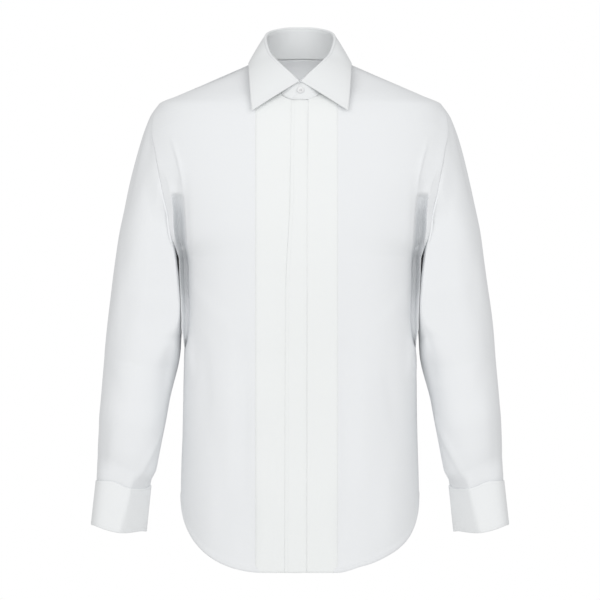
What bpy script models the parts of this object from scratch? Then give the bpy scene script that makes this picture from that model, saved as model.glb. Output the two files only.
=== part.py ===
"""Long sleeve dress shirt with a bib front, filled out and hollow, as its wearer holds it.

Metres, +Z up. The front faces -Y and the wearer's left is +X. The origin is at the base of the
neck, level with the collar's lower edge at the shoulders.

Each panel is a wall of cloth. Its outer face is a grid of points read from the shirt's form, and
its inner face is the same grid moved in along the normals.
"""

import math

import bpy
import numpy as np

# Cloth and seams.
CLOTH = 0.0012
BIB_CLOTH = 0.0010
COLLAR_CLOTH = 0.0012
BAND_CLOTH = 0.0015
CUFF_CLOTH = 0.0010
SEAM = 0.0003

# Form of the body sections: |x / half_width| ** squareness + |y / depth| ** squareness = 1.
BODY = {
    "level": (-0.760, -0.650, -0.550, -0.450, -0.400, -0.351, -0.310, -0.288, -0.276, -0.250,
              -0.216, -0.187, -0.150, -0.100, -0.075, -0.057, -0.045, -0.032, -0.020, -0.008,
              0.000, 0.008, 0.011),
    "half_width": (0.1760, 0.1785, 0.1760, 0.1740, 0.1715, 0.1700, 0.1725, 0.1770, 0.1840, 0.2030,
                   0.2160, 0.2260, 0.2345, 0.2335, 0.2235, 0.2115, 0.1839, 0.1540, 0.1264, 0.0988,
                   0.0804, 0.0620, 0.0551),
    "front": (0.124, 0.122, 0.119, 0.118, 0.120, 0.122, 0.124, 0.125, 0.125, 0.125,
              0.124, 0.122, 0.118, 0.109, 0.101, 0.0915, 0.082, 0.067, 0.053, 0.037,
              0.022, 0.008, 0.004),
    "back": (0.115, 0.111, 0.103, 0.096, 0.097, 0.100, 0.104, 0.106, 0.108, 0.110,
             0.112, 0.113, 0.112, 0.107, 0.102, 0.098, 0.094, 0.089, 0.0825, 0.0755,
             0.0705, 0.0640, 0.0620),
    "squareness": (3.0, 3.0, 3.0, 3.0, 3.0, 3.0, 2.95, 2.9, 2.85, 2.75,
                   2.6, 2.5, 2.4, 2.4, 2.4, 2.4, 2.4, 2.4, 2.4, 2.4,
                   2.4, 2.4, 2.4),
}

# Hem: level at the middle of each tail, its rise to the side seams, and where the rise starts.
HEM_LEVEL = -0.7585
HEM_RISE = 0.113
HEM_FLAT = math.radians(10)
HEM_POWER = 1.70

# Sleeves: sections at each level, out from the body to the outer edge.
SLEEVE = {
    "level": (-0.621, -0.606, -0.576, -0.501, -0.426, -0.381, -0.321, -0.288, -0.250, -0.216,
              -0.187, -0.157, -0.126, -0.104, -0.089, -0.075, -0.057),
    "outer": (0.3030, 0.3020, 0.3010, 0.2980, 0.2930, 0.2890, 0.2810, 0.2760, 0.2700, 0.2630,
              0.2570, 0.2500, 0.2420, 0.2355, 0.2300, 0.2240, 0.2115),
    "half_width": (0.0412, 0.0425, 0.0445, 0.0505, 0.0570, 0.0570, 0.0525, 0.0495, 0.0470, 0.0480,
                   0.0470, 0.0450, 0.0430, 0.0350, 0.0320, 0.0320, 0.0300),
    "half_depth": (0.0395, 0.0420, 0.0480, 0.0570, 0.0640, 0.0660, 0.0685, 0.0690, 0.0690, 0.0685,
                   0.0670, 0.0650, 0.0610, 0.0570, 0.0545, 0.0520, 0.0480),
    "middle": (-0.0230, -0.0215, -0.0180, -0.0120, -0.0060, -0.0030, -0.0010, 0.0, 0.0, 0.0,
               0.0, 0.0, 0.0, 0.0, 0.0, 0.0, 0.0),
}
SLEEVE_SQUARENESS = 2.15

# Armhole: the sleeve's section at angle a is sewn at ARMHOLE_MIDDLE + ARMHOLE_HALF * cos(a).
ARMHOLE_TOP = -0.057
ARMHOLE_BOTTOM = -0.288
ARMHOLE_MIDDLE = (ARMHOLE_TOP + ARMHOLE_BOTTOM) / 2
ARMHOLE_HALF = (ARMHOLE_TOP - ARMHOLE_BOTTOM) / 2

# Tuck that the cloth makes between the body and the sleeve, under the arm: how far it folds in,
# how far across it starts, and the width of the strip left between it and the armhole.
TUCK = {
    "level": (-0.300, -0.288, -0.276, -0.250, -0.222, -0.198, -0.192, -0.170),
    "depth": (0.0, 0.0, 0.030, 0.046, 0.046, 0.040, 0.0, 0.0),
    "start": (0.1665, 0.1665, 0.1668, 0.1675, 0.1695, 0.1727, 0.1727, 0.1727),
    "strip": (0.0005, 0.0005, 0.0030, 0.0060, 0.0085, 0.0112, 0.0112, 0.0112),
}
TUCK_SIDE_SHARE = 0.97
TUCK_SHAPE = 2.4

# Rows of the panels beside the armhole: how their level eases from the inner end to the outer
# one, and how late they bend over to the armhole.
ROW_EASE = 1.5
ROW_BEND = 4

# Front: neckline, bibs, centre overlap.
FRONT_NECK_LEVEL = -0.052
FRONT_NECK = {
    "across": (0.0, 0.012, 0.024, 0.038, 0.050, 0.058, 0.062),
    "level": (-0.052, -0.052, -0.0480, -0.037, -0.022, -0.007, 0.008),
}
FRONT_RISE = {
    "step": (4, 5, 6, 7, 8),
    "rise": (0.0485, 0.024, 0.008, 0.0, 0.0),
}
BACK_NECK_RISE = 0.003
NECK_SIDE_LEVEL = 0.008
YOKE_SEAM_LEVEL = -0.090
PLACKET_EDGES = {
    "level": (-0.760, -0.350, -0.200, -0.050),
    "free": (-0.0230, -0.0215, -0.0150, -0.0130),
    "sewn": (0.0100, 0.0105, 0.0108, 0.0120),
}
PLACKET_CLOTH = 0.0012
PLACKET_BACK = 0.0001
UNDERLAP = 0.0015
UNDERLAP_DIP = 0.0015
DIP_INSIDE = 0.004
DIP_OUTSIDE = 0.014
BIB_EDGE = {"left": 0.0563, "right": 0.0668}
BIB_LEAST = 0.014
BIB_MIDDLE = 0.050
BIB_TOP_SHORT = 0.0010
BIB_TOP_STEP = 1.5

# Collar: the band runs from the neckline up to the fold, and the leaf from the fold down.
BAND_TOP = {
    "angle": (-13.0, -9.0, -4.0, 0.0, 5.0, 20.0, 45.0, 60.0, 75.0, 90.0, 110.0, 135.0, 180.0),
    "level": (-0.0450, -0.0360, -0.0315, -0.0290, -0.0255, -0.0125, 0.0055, 0.0150, 0.0285,
              0.0395, 0.0470, 0.0525, 0.0570),
}
BAND_TOP_HALF_WIDTH = 0.0510
BAND_TOP_FRONT = 0.0760
BAND_TOP_BACK = 0.0560
BAND_END = 13.0
BAND_LAP = 0.0009
BAND_LIFT = 0.0009
BAND_LAP_START = 14.0
BAND_LAP_FULL = 34.0
LEAF_START = 4.0
LEAF_ROLL = 0.00225
LEAF_LIFT = 0.0006
LEAF_RISE = 0.0013
LEAF_EDGE = {
    "angle": (4.0, 20.0, 40.0, 60.0, 80.0, 100.0, 125.0, 150.0, 180.0),
    "across": (0.0712, 0.0735, 0.0755, 0.0768, 0.0775, 0.0740, 0.0600, 0.0360, 0.0),
    "along": (-0.1050, -0.0930, -0.0720, -0.0470, -0.0190, 0.0160, 0.0480, 0.0690, 0.0780),
    "level": (-0.0680, -0.0480, -0.0240, -0.0060, 0.0035, 0.0055, 0.0045, 0.0010, -0.0045),
}
LEAF_SWELL = 0.0012
LEAF_CLEAR = 0.0050

# Turned-back cuffs.
CUFF_TOP = {"outer": -0.621, "inner": -0.629, "across": 0.2640, "middle": -0.022}
CUFF_FOLD = {"outer": -0.688, "inner": -0.698, "across": 0.2710, "middle": -0.026}
CUFF_HALF_WIDTH = 0.0418
CUFF_HALF_DEPTH = 0.0400
CUFF_RIDGE_ANGLE = math.radians(104)
CUFF_RIDGE = 0.0030
CUFF_RIDGE_SPREAD = math.radians(22)
CUFF_LAYER_GAP = 0.0016
CUFF_FIN_GAP = 0.0004
CUFF_FIN = 0.014
CUFF_FIN_PART = 0.0028
CUFF_FIN_BEND = (0.0006, 0.002)
CUFF_FOLD_ROUND = 0.0010
CUFF_ENDS = (math.radians(-60), math.radians(240))
CUFF_CHANNEL = 0.0012
CUFF_INNER_SHORT = 0.006
SLEEVE_TUCK_IN = 0.0057
SLEEVE_CUFF_CLEAR = 0.0016
SLEEVE_GATHER_START = 0.80

# Sleeve placket at the back of the wrist.
WRIST_PLACKET_ROWS = 5
WRIST_PLACKET_GAP = 0.0003
WRIST_PLACKET_SHORT = 0.0006

# Collar button.
BUTTON_RADIUS = 0.0050
BUTTON_THICK = 0.0024
BUTTON_RIM = 0.0006
BUTTON_DISH = 0.0009
BUTTON_ACROSS = 0.0035
BUTTON_LEVEL = -0.0385
BUTTON_CLEAR = 0.0006
BUTTON_SIDES = 20

# Fineness of the grids.
LOWER_ROWS = 10
ARM_STEPS = 14
YOKE_STEPS = 4
YOKE_ROWS = 8
NECK_STEP = 4
CHEST_STEPS = 5
TUCK_SHARES = (0.0, 0.22, 0.36, 0.5, 0.66, 0.84, 1.0)
SLEEVE_STEPS = 17
BAND_ROWS = 3
LEAF_ROWS = 5
CUFF_SPANS = 15
SHARP_ANGLE = math.radians(35)

# Colour, roughness and metallic value of each material.
MATERIALS = {
    "shirt_cloth": ((0.86, 0.87, 0.885), 0.78, 0.0),
    "bib_cloth": ((0.875, 0.885, 0.895), 0.76, 0.0),
    "collar_cloth": ((0.865, 0.875, 0.885), 0.74, 0.0),
    "button_shell": ((0.88, 0.885, 0.89), 0.32, 0.0),
}


def half_steps(first, last):
    """Steps from first down to last, two for each whole step."""
    return [double / 2 for double in range(2 * first, 2 * last - 1, -1)]


TUCK_TOP_STEPS = [8, 7.75, 7]
FRONT_STEPS = [*range(ARM_STEPS, 8, -1), *TUCK_TOP_STEPS, 6, 5, *half_steps(NECK_STEP, 0)]
BACK_STEPS = [*range(ARM_STEPS, 8, -1), *TUCK_TOP_STEPS, 6, 5, YOKE_STEPS]


def smooth_table(table, column, at, key="level"):
    """Reads a column between its rows with a cubic that never overshoots them."""
    x = np.asarray(table[key], float)
    y = np.asarray(table[column], float)
    at = np.clip(np.asarray(at, float), x[0], x[-1])
    step = np.diff(x)
    slope = np.diff(y) / step
    middle = np.where(slope[:-1] * slope[1:] > 0, 2 * slope[:-1] * slope[1:], 0.0)
    total = slope[:-1] + slope[1:]
    middle = np.divide(middle, total, out=np.zeros_like(middle), where=np.abs(total) > 1e-12)
    tangent = np.concatenate(([slope[0]], middle, [slope[-1]]))
    i = np.clip(np.searchsorted(x, at, side="right") - 1, 0, len(step) - 1)
    t = (at - x[i]) / step[i]
    return (
        (1 + 2 * t) * (1 - t) ** 2 * y[i]
        + t * (1 - t) ** 2 * step[i] * tangent[i]
        + t * t * (3 - 2 * t) * y[i + 1]
        + t * t * (t - 1) * step[i] * tangent[i + 1]
    )


def smoothstep(value):
    value = np.clip(value, 0.0, 1.0)
    return value * value * (3 - 2 * value)


def power(value, exponent):
    return np.sign(value) * np.abs(value) ** exponent


BODY_SIZES = ("half_width", "front", "back", "squareness")


def body(angle, level):
    """The body's form. The angle is 0 at the middle of the front and pi at the middle of the back."""
    angle, level = np.broadcast_arrays(np.asarray(angle, float), np.asarray(level, float))
    half_width, front, back, squareness = (smooth_table(BODY, name, level) for name in BODY_SIZES)
    across = half_width * power(np.sin(angle), 2 / squareness)
    towards_back = -power(np.cos(angle), 2 / squareness)
    along = np.where(towards_back < 0, front, back) * towards_back
    return np.stack((across, along, level), axis=-1)


def body_angle(across, level):
    """The angle on the front half at which the body is this far across."""
    share = np.asarray(across) / smooth_table(BODY, "half_width", level)
    return np.arcsin(np.clip(power(share, smooth_table(BODY, "squareness", level) / 2), -1, 1))


def sleeve_form(angle, level):
    """The sleeve's form. The angle is 0 at the outer edge, a right angle at the front."""
    angle, level = np.broadcast_arrays(np.asarray(angle, float), np.asarray(level, float))
    half_width = smooth_table(SLEEVE, "half_width", level)
    exponent = 2 / SLEEVE_SQUARENESS
    across = smooth_table(SLEEVE, "outer", level) - half_width * (1 - power(np.cos(angle), exponent))
    depth = smooth_table(SLEEVE, "half_depth", level) * power(np.sin(angle), exponent)
    return np.stack((across, smooth_table(SLEEVE, "middle", level) - depth, level), axis=-1)


def armhole_level(step):
    return ARMHOLE_MIDDLE + ARMHOLE_HALF * math.cos(math.pi * step / ARM_STEPS)


def armhole(step):
    """The armhole's point at a step from the shoulder tip, forward if positive. A part of a step
    lies on the straight edge between its whole steps."""
    below = math.floor(step)
    ends = [sleeve_form(math.pi * whole / ARM_STEPS, armhole_level(whole))
            for whole in (below, below + 1)]
    return ends[0] + (ends[1] - ends[0]) * (step - below)


def hem_level(angle):
    """The hem's level round the body, the same on the back tail."""
    from_middle = np.minimum(np.abs(angle), math.pi - np.abs(angle))
    share = np.clip((from_middle - HEM_FLAT) / (math.pi / 2 - HEM_FLAT), 0, 1)
    return HEM_LEVEL + HEM_RISE * share ** HEM_POWER


def outer_angle(point, level, is_back):
    """The body's angle beside a point of the armhole."""
    depth = smooth_table(BODY, "back" if is_back else "front", level)
    squareness = float(smooth_table(BODY, "squareness", level))
    share = min(abs(point[1]) / float(depth), 1.0) ** (squareness / 2)
    angle = math.acos(share)
    return math.pi - angle if is_back else angle


def row_line(inner, outer, target, samples=241):
    """Points along one row of a panel, closely spaced, from inner to outer, each (angle, level)."""
    share = np.linspace(0, 1, samples)
    angle = inner[0] + (outer[0] - inner[0]) * share
    level = inner[1] + (outer[1] - inner[1]) * share ** ROW_EASE
    points = body(angle, level)
    if target is not None:
        points += (share ** ROW_BEND)[:, None] * (target - points[-1])
    return points


def lower_line(share_up, inner, outer, samples=241):
    """A row between the hem and the underarm, from one angle to the other."""
    angle = np.linspace(inner, outer, samples)
    level = hem_level(angle) * (1 - share_up) + ARMHOLE_BOTTOM * share_up
    return body(angle, level)


def read_line(points, shares):
    """Reads a line of points at places given as shares of its length."""
    steps = np.linalg.norm(np.diff(points, axis=0), axis=1)
    along = np.concatenate(([0], np.cumsum(steps)))
    wanted = np.asarray(shares) * along[-1]
    return np.stack([np.interp(wanted, along, points[:, k]) for k in range(3)], axis=-1)


def share_at(points, across):
    """The share of a line's length at which it reaches this far across."""
    steps = np.linalg.norm(np.diff(points, axis=0), axis=1)
    along = np.concatenate(([0], np.cumsum(steps)))
    return float(np.interp(across, points[:, 0], along / along[-1]))


def tuck(points, start, is_back):
    """Folds the outer columns of a row in between the body and the sleeve."""
    level = points[-1, 2]
    depth = float(smooth_table(TUCK, "depth", level))
    first = points[start, 0]
    last = points[-1, 0] - float(smooth_table(TUCK, "strip", level))
    if depth <= 0 or last <= first:
        return points
    shares = (np.array(TUCK_SHARES) / TUCK_SHARES[-2])[:-1]
    wide = points[start:].copy()
    across = np.append(first + (last - first) * shares, wide[-1, 0])
    along = np.interp(across, wide[:, 0], wide[:, 1])
    valley = np.append(1 - np.abs(2 * shares - 1) ** TUCK_SHAPE, 0.0)
    folded = wide.copy()
    folded[:, 0] = across
    folded[:, 1] = along + depth * valley * (-1 if is_back else 1)
    folded[-1] = wide[-1]
    points = points.copy()
    points[start:] = folded
    return points


def tuck_start_share(line):
    """The share of a row's length at which the tuck's columns begin."""
    start = float(smooth_table(TUCK, "start", line[-1, 2]))
    return share_at(line, min(start, TUCK_SIDE_SHARE * line[-1, 0]))


def front_neck_point(across):
    level = float(smooth_table(FRONT_NECK, "level", abs(across), key="across"))
    return float(body_angle(across, level)), level


def front_inner(step, across_start):
    """Inner end of a front row at an armhole step: up the centre, then round the neckline."""
    level = float(armhole(step)[2])
    if step >= NECK_STEP:
        level += float(smooth_table(FRONT_RISE, "rise", step, key="step"))
        return float(body_angle(across_start(level), level)), level
    low = across_start(FRONT_NECK_LEVEL)
    share = 1 - step / NECK_STEP
    return front_neck_point(low + (FRONT_NECK["across"][-1] - low) * share)


def front_lines(across_start):
    """Every row of a front, from the hem up to the shoulder seam."""
    lines = []
    for row in range(LOWER_ROWS):
        share_up = row / LOWER_ROWS
        middle_level = HEM_LEVEL * (1 - share_up) + ARMHOLE_BOTTOM * share_up
        inner = float(body_angle(across_start(middle_level), middle_level))
        lines.append(lower_line(share_up, inner, math.pi / 2))
    for step in FRONT_STEPS:
        target = armhole(step)
        level = float(target[2])
        inner = front_inner(step, across_start)
        lines.append(row_line(inner, (outer_angle(target, level, False), level), target))
    return lines


def front_grid(across_start, bib_columns):
    """Points of a front on the wearer's left. bib_columns gives how far across each column lies."""
    rows = []
    for line in front_lines(across_start):
        columns = [share_at(line, across) for across in bib_columns(line[0])]
        tuck_from = tuck_start_share(line)
        chest = np.linspace(columns[-1], tuck_from, CHEST_STEPS + 1)[1:-1]
        outer = tuck_from + (1 - tuck_from) * np.array(TUCK_SHARES)
        shares = np.concatenate((columns, chest, outer))
        points = read_line(line, shares)
        rows.append(tuck(points, len(shares) - len(TUCK_SHARES), False))
    return np.array(rows)


def back_half(lines):
    """Columns of back or yoke rows, from the middle of the back to the wearer's left."""
    rows = []
    for line in lines:
        tuck_from = tuck_start_share(line)
        chest = np.linspace(0, tuck_from, CHEST_STEPS + 2)[:-1]
        outer = tuck_from + (1 - tuck_from) * np.array(TUCK_SHARES)
        points = read_line(line, np.concatenate((chest, outer)))
        rows.append(tuck(points, len(chest), True))
    return np.array(rows)


def back_lines():
    lines = [lower_line(row / LOWER_ROWS, math.pi, math.pi / 2) for row in range(LOWER_ROWS)]
    for step in BACK_STEPS:
        target = armhole(-step)
        level = float(target[2])
        inner = YOKE_SEAM_LEVEL if step == YOKE_STEPS else level
        lines.append(row_line((math.pi, inner), (outer_angle(target, level, True), level), target))
    return lines


def back_angle(point):
    """The body's angle nearest to a point of the back or the yoke."""
    half_width, _, back, squareness = (smooth_table(BODY, name, point[2]) for name in BODY_SIZES)
    across = float(power(point[0] / half_width, squareness / 2))
    along = float(power(point[1] / back, squareness / 2))
    return math.pi - math.atan2(across, along)


def back_neck(share):
    """The neckline at the back, from the middle at 0 round to the shoulder seam at 1."""
    return math.pi - math.pi / 2 * share, NECK_SIDE_LEVEL + BACK_NECK_RISE * (1 - share)


def yoke_half():
    """The yoke's points on the wearer's left. Each column runs from the outer edge to the neckline,
    and the columns go from the middle of the back round to the shoulder seam."""
    seam = back_half(back_lines()[-1:])[0]
    edge = [*seam, *(armhole(-step) for step in range(YOKE_STEPS - 1, -1, -1))]
    columns = []
    for index, target in enumerate(edge):
        inner = back_neck(index / (len(edge) - 1))
        line = row_line(inner, (back_angle(target), float(target[2])), target)
        columns.append(read_line(line, np.linspace(1, 0, YOKE_ROWS + 1)))
    return np.array(columns).transpose(1, 0, 2)


def both_sides(half):
    """Joins a half that starts at the middle to its mirror image."""
    mirrored = half[:, :0:-1] * np.array((-1, 1, 1))
    return np.concatenate((mirrored, half), axis=1)


def grid_normals(points, wrap=False):
    """Unit normals of a grid, on the side that the rows' order and the columns' order give."""
    if wrap:
        padded = np.concatenate((points[:, -1:], points, points[:, :1]), axis=1)
        along_columns = np.gradient(padded, axis=1)[:, 1:-1]
    else:
        along_columns = np.gradient(points, axis=1)
    along_rows = np.gradient(points, axis=0)
    normals = np.cross(along_columns, along_rows)
    return normals / np.linalg.norm(normals, axis=-1, keepdims=True)


def pull_edge(points, row=None, column=None, distance=SEAM / 2):
    """Moves one edge of a grid towards its neighbours, to leave room at a seam."""
    if row is not None:
        edge, inside = points[row], points[1 if row == 0 else row - 1]
    else:
        edge, inside = points[:, column], points[:, 1 if column == 0 else column - 1]
    step = inside - edge
    moved = edge + step / np.linalg.norm(step, axis=-1, keepdims=True) * distance
    if row is not None:
        points[row] = moved
    else:
        points[:, column] = moved


def wall_triangles(grid, wrap, shorter):
    """Triangles of a closed wall: outer grid, inner grid and the edges between them. With shorter,
    each square of the grid is cut along its shorter diagonal."""
    rows, columns = grid.shape[:2]
    points = grid.reshape(-1, 3)
    inner = rows * columns
    faces = []
    spans = columns if wrap else columns - 1
    for row in range(rows - 1):
        for column in range(spans):
            a = row * columns + column
            b = row * columns + (column + 1) % columns
            c, d = b + columns, a + columns
            rising = np.linalg.norm(points[a] - points[c])
            falling = np.linalg.norm(points[b] - points[d])
            halves = [(a, b, d), (b, c, d)] if shorter and falling < rising else [(a, b, c), (a, c, d)]
            faces += halves
            faces += [(inner + i, inner + k, inner + j) for i, j, k in halves]
    top = (rows - 1) * columns
    for column in range(spans):
        a, b = column, (column + 1) % columns
        faces += [(a, inner + a, inner + b), (a, inner + b, b)]
        a, b = top + a, top + b
        faces += [(a, b, inner + b), (a, inner + b, inner + a)]
    if not wrap:
        for row in range(rows - 1):
            a, d = row * columns, (row + 1) * columns
            faces += [(a, d, inner + d), (a, inner + d, inner + a)]
            b, c = a + columns - 1, d + columns - 1
            faces += [(b, inner + b, inner + c), (b, inner + c, c)]
    return faces


def material(name):
    made = bpy.data.materials.get(name) or bpy.data.materials.new(name)
    made.use_nodes = True
    colour, roughness, metallic = MATERIALS[name]
    shader = made.node_tree.nodes["Principled BSDF"]
    shader.inputs["Base Color"].default_value = (*colour, 1)
    shader.inputs["Roughness"].default_value = roughness
    shader.inputs["Metallic"].default_value = metallic
    return made


def make_object(name, vertices, faces, slot, flip=False):
    """Makes one closed solid. flip turns the faces of a mirrored piece round."""
    if flip:
        faces = [face[::-1] for face in faces]
    mesh = bpy.data.meshes.new(name)
    mesh.from_pydata([tuple(map(float, vertex)) for vertex in vertices], [], faces)
    mesh.materials.append(material(slot))
    mesh.shade_smooth()
    mesh.set_sharp_from_angle(angle=SHARP_ANGLE)
    made = bpy.data.objects.new(name, mesh)
    bpy.context.scene.collection.objects.link(made)
    return made


def make_wall(name, outer, inner, slot, wrap=False, flip=False, shorter=False):
    vertices = np.concatenate((outer.reshape(-1, 3), inner.reshape(-1, 3)))
    return make_object(name, vertices, wall_triangles(outer, wrap, shorter), slot, flip)


def keep_side(offsets, axis, sign):
    """Keeps an edge's inward step from reaching across its seam."""
    offsets[..., axis] = sign * np.maximum(sign * offsets[..., axis], 0)


def side_sign(side):
    return 1 if side == "left" else -1


def placket_edge(column, level):
    return smooth_table(PLACKET_EDGES, column, level)


def left_start(level):
    """The left front stops at the placket's sewn edge."""
    return float(placket_edge("sewn", level)) + SEAM


def right_start(level):
    """The right front runs on under the placket, just short of its sewn edge."""
    return UNDERLAP - float(placket_edge("sewn", level))


def left_bib_columns(first):
    start = first[0]
    return np.linspace(start, max(BIB_EDGE["left"], start + BIB_LEAST), 4)


def right_bib_columns(first):
    """Columns of the right front's bib, closer together beside the placket's free edge."""
    start = first[0]
    edge = BIB_EDGE["right"]
    if start >= 0:
        return np.linspace(start, max(edge, start + BIB_LEAST), 6)
    free = -float(placket_edge("free", first[2]))
    middle = (start + free) / 2
    return np.array((start, middle, free + DIP_INSIDE, free + DIP_OUTSIDE, BIB_MIDDLE, edge))


def underlap_dip(points):
    """How far the right front lies back under the placket."""
    free = -placket_edge("free", points[..., 2])
    share = (points[..., 0] - free - DIP_INSIDE) / (DIP_OUTSIDE - DIP_INSIDE)
    return UNDERLAP_DIP * (1 - smoothstep(share))


FRONTS = {
    "left": (left_start, left_bib_columns, 4),
    "right": (right_start, right_bib_columns, 6),
}


def front_shape(side):
    """Outer face and normals of a front, both still on the wearer's left."""
    start, columns, _ = FRONTS[side]
    points = front_grid(start, columns)
    normals = grid_normals(points)
    if side == "right":
        points = points - normals * underlap_dip(points)[..., None]
    return points, normals


def mirrored(points, side):
    return points * np.array((side_sign(side), 1, 1))


def build_front(side):
    points, normals = front_shape(side)
    offsets = -CLOTH * normals
    keep_side(offsets[: LOWER_ROWS + 1, -1], 1, -1)
    keep_side(offsets[LOWER_ROWS:, -1], 0, -1)
    keep_side(offsets[-1], 1, -1)
    pull_edge(points, row=-1)
    below = points[: LOWER_ROWS + 1]
    pull_edge(below, column=-1)
    inner = points + offsets
    make_wall(
        f"front_{side}", mirrored(points, side), mirrored(inner, side), "shirt_cloth",
        flip=side == "right",
    )


def build_bib(side):
    """The bib's second layer, made from the front's points moved out."""
    points, normals = front_shape(side)
    columns = FRONTS[side][2]
    last_row = LOWER_ROWS + FRONT_STEPS.index(BIB_TOP_STEP) + 1
    points, normals = points[:last_row, :columns], normals[:last_row, :columns]
    pull_edge(points[LOWER_ROWS + FRONT_STEPS.index(NECK_STEP):], column=0, distance=BIB_TOP_SHORT)
    pull_edge(points, row=-1, distance=BIB_TOP_SHORT)
    inner = points + normals * SEAM
    outer = points + normals * (SEAM + BIB_CLOTH)
    make_wall(
        f"bib_{side}", mirrored(outer, side), mirrored(inner, side), "bib_cloth",
        flip=side == "right",
    )


def placket_levels():
    lower = [
        HEM_LEVEL + (ARMHOLE_BOTTOM - HEM_LEVEL) * row / LOWER_ROWS for row in range(LOWER_ROWS)
    ]
    steps = [step for step in FRONT_STEPS if step >= NECK_STEP]
    return lower + [front_inner(step, left_start)[1] for step in steps]


def build_placket():
    """The covered front edge, over both fronts at the middle."""
    rows = []
    for level in placket_levels():
        across = np.linspace(placket_edge("free", level), placket_edge("sewn", level), 4)
        rows.append(body(body_angle(across, level), level))
    points = np.array(rows)
    normals = grid_normals(points)
    pull_edge(points, row=-1, distance=BIB_TOP_SHORT)
    inner = points + normals * PLACKET_BACK
    outer = points + normals * (PLACKET_BACK + PLACKET_CLOTH)
    make_wall("placket", outer, inner, "bib_cloth")


def yoke_and_back_shapes():
    """Grids and normals of the yoke and the back, which share their seam's normals."""
    yoke = both_sides(yoke_half())
    back = both_sides(back_half(back_lines()))
    yoke_normals = -grid_normals(yoke)
    back_normals = -grid_normals(back)
    shared = yoke_normals[0, YOKE_STEPS:-YOKE_STEPS] + back_normals[-1]
    shared /= np.linalg.norm(shared, axis=-1, keepdims=True)
    yoke_normals[0, YOKE_STEPS:-YOKE_STEPS] = shared
    back_normals[-1] = shared
    return (yoke, yoke_normals), (back, back_normals)


def build_yoke_and_back():
    (yoke, yoke_normals), (back, back_normals) = yoke_and_back_shapes()
    offsets = -CLOTH * yoke_normals
    keep_side(offsets[0, -YOKE_STEPS - 1:], 0, -1)
    keep_side(offsets[0, : YOKE_STEPS + 1], 0, 1)
    pull_edge(yoke, row=0)
    for column in (0, -1):
        keep_side(offsets[:, column], 1, 1)
        pull_edge(yoke, column=column)
    make_wall("yoke", yoke, yoke + offsets, "shirt_cloth", flip=True, shorter=True)
    offsets = -CLOTH * back_normals
    keep_side(offsets[LOWER_ROWS:, -1], 0, -1)
    keep_side(offsets[LOWER_ROWS:, 0], 0, 1)
    for column in (0, -1):
        keep_side(offsets[: LOWER_ROWS + 1, column], 1, 1)
        pull_edge(back[: LOWER_ROWS + 1], column=column)
    pull_edge(back, row=-1)
    make_wall("back", back, back + offsets, "shirt_cloth", flip=True)


def cuff_section(angle, inset=0.0):
    """How far across and forward the cuff's outer face lies from its section's middle."""
    bump = (angle - CUFF_RIDGE_ANGLE + math.pi) % (2 * math.pi) - math.pi
    ridge = CUFF_RIDGE * np.exp(-((bump / CUFF_RIDGE_SPREAD) ** 2))
    across = (CUFF_HALF_WIDTH - inset) * np.cos(angle)
    return across, (CUFF_HALF_DEPTH - inset + ridge) * np.sin(angle)


def cuff_ring(angle, inset):
    """A ring inside the top of the cuff, this far in from its outer face."""
    return cuff_place(*cuff_section(angle, inset), 0.0)


def cuff_place(across, forward, down):
    """Places a point of the cuff's section. down is 0 at the cuff's top and 1 at its fold."""
    share = (1 - across / CUFF_HALF_WIDTH) / 2
    ends = []
    for ring in (CUFF_TOP, CUFF_FOLD):
        level = ring["outer"] + (ring["inner"] - ring["outer"]) * share
        ends.append(np.stack((ring["across"] + across, ring["middle"] - forward, level), axis=-1))
    return ends[0] * (1 - down) + ends[1] * down


def cuff_path():
    """The cuff's section from one pressed-together end round the wrist to the other."""
    ring = np.stack(cuff_section(np.linspace(*CUFF_ENDS, CUFF_SPANS + 1)), axis=-1)
    back = -CUFF_HALF_DEPTH
    bend_out, bend_back = CUFF_FIN_BEND
    first = np.array((
        (CUFF_FIN_PART, back - CUFF_FIN),
        (CUFF_FIN_PART + bend_out, back - bend_back),
    ))
    last = first[::-1] * np.array((-1, 1))
    return np.concatenate((first, ring, last))


def path_normals(path):
    """Outward normals of a flat path that runs forward on its right and back on its left."""
    along = np.gradient(path, axis=0)
    normals = np.stack((along[:, 1], -along[:, 0]), axis=-1)
    return normals / np.linalg.norm(normals, axis=-1, keepdims=True)


def cuff_profile(fin_share):
    """Corners of the folded cuff: (in from the outer face, share down, metres down)."""
    gap = CUFF_LAYER_GAP + (CUFF_FIN_GAP - CUFF_LAYER_GAP) * fin_share
    through = 2 * CUFF_CLOTH + gap
    inner_layer = CUFF_CLOTH + gap
    return (
        (0.0, 0, 0.0),
        (0.0, 1, -CUFF_FOLD_ROUND),
        (through / 2, 1, 0.0),
        (through, 1, -CUFF_FOLD_ROUND),
        (through, 0, CUFF_INNER_SHORT),
        (inner_layer, 0, CUFF_INNER_SHORT),
        (inner_layer, 1, -CUFF_FOLD_ROUND - CUFF_CHANNEL),
        (CUFF_CLOTH, 1, -CUFF_FOLD_ROUND - CUFF_CHANNEL),
        (CUFF_CLOTH, 0, 0.0),
    )


def loft_closed(sections):
    """Triangles that join closed sections in turn."""
    count = len(sections[0])
    faces = []
    for index in range(len(sections) - 1):
        base = index * count
        for corner in range(count):
            after = (corner + 1) % count
            a, b = base + corner, base + after
            faces += [(a, b, b + count), (a, b + count, a + count)]
    return faces


def cuff_cap(base, turn):
    """Triangles over the end of the folded cuff, whose corners cuff_profile names."""
    strips = [(0, 1, 7), (0, 7, 8), (1, 2, 7), (2, 6, 7), (2, 3, 6), (3, 4, 5), (3, 5, 6)]
    return [tuple(base + corner for corner in strip[::turn]) for strip in strips]


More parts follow.
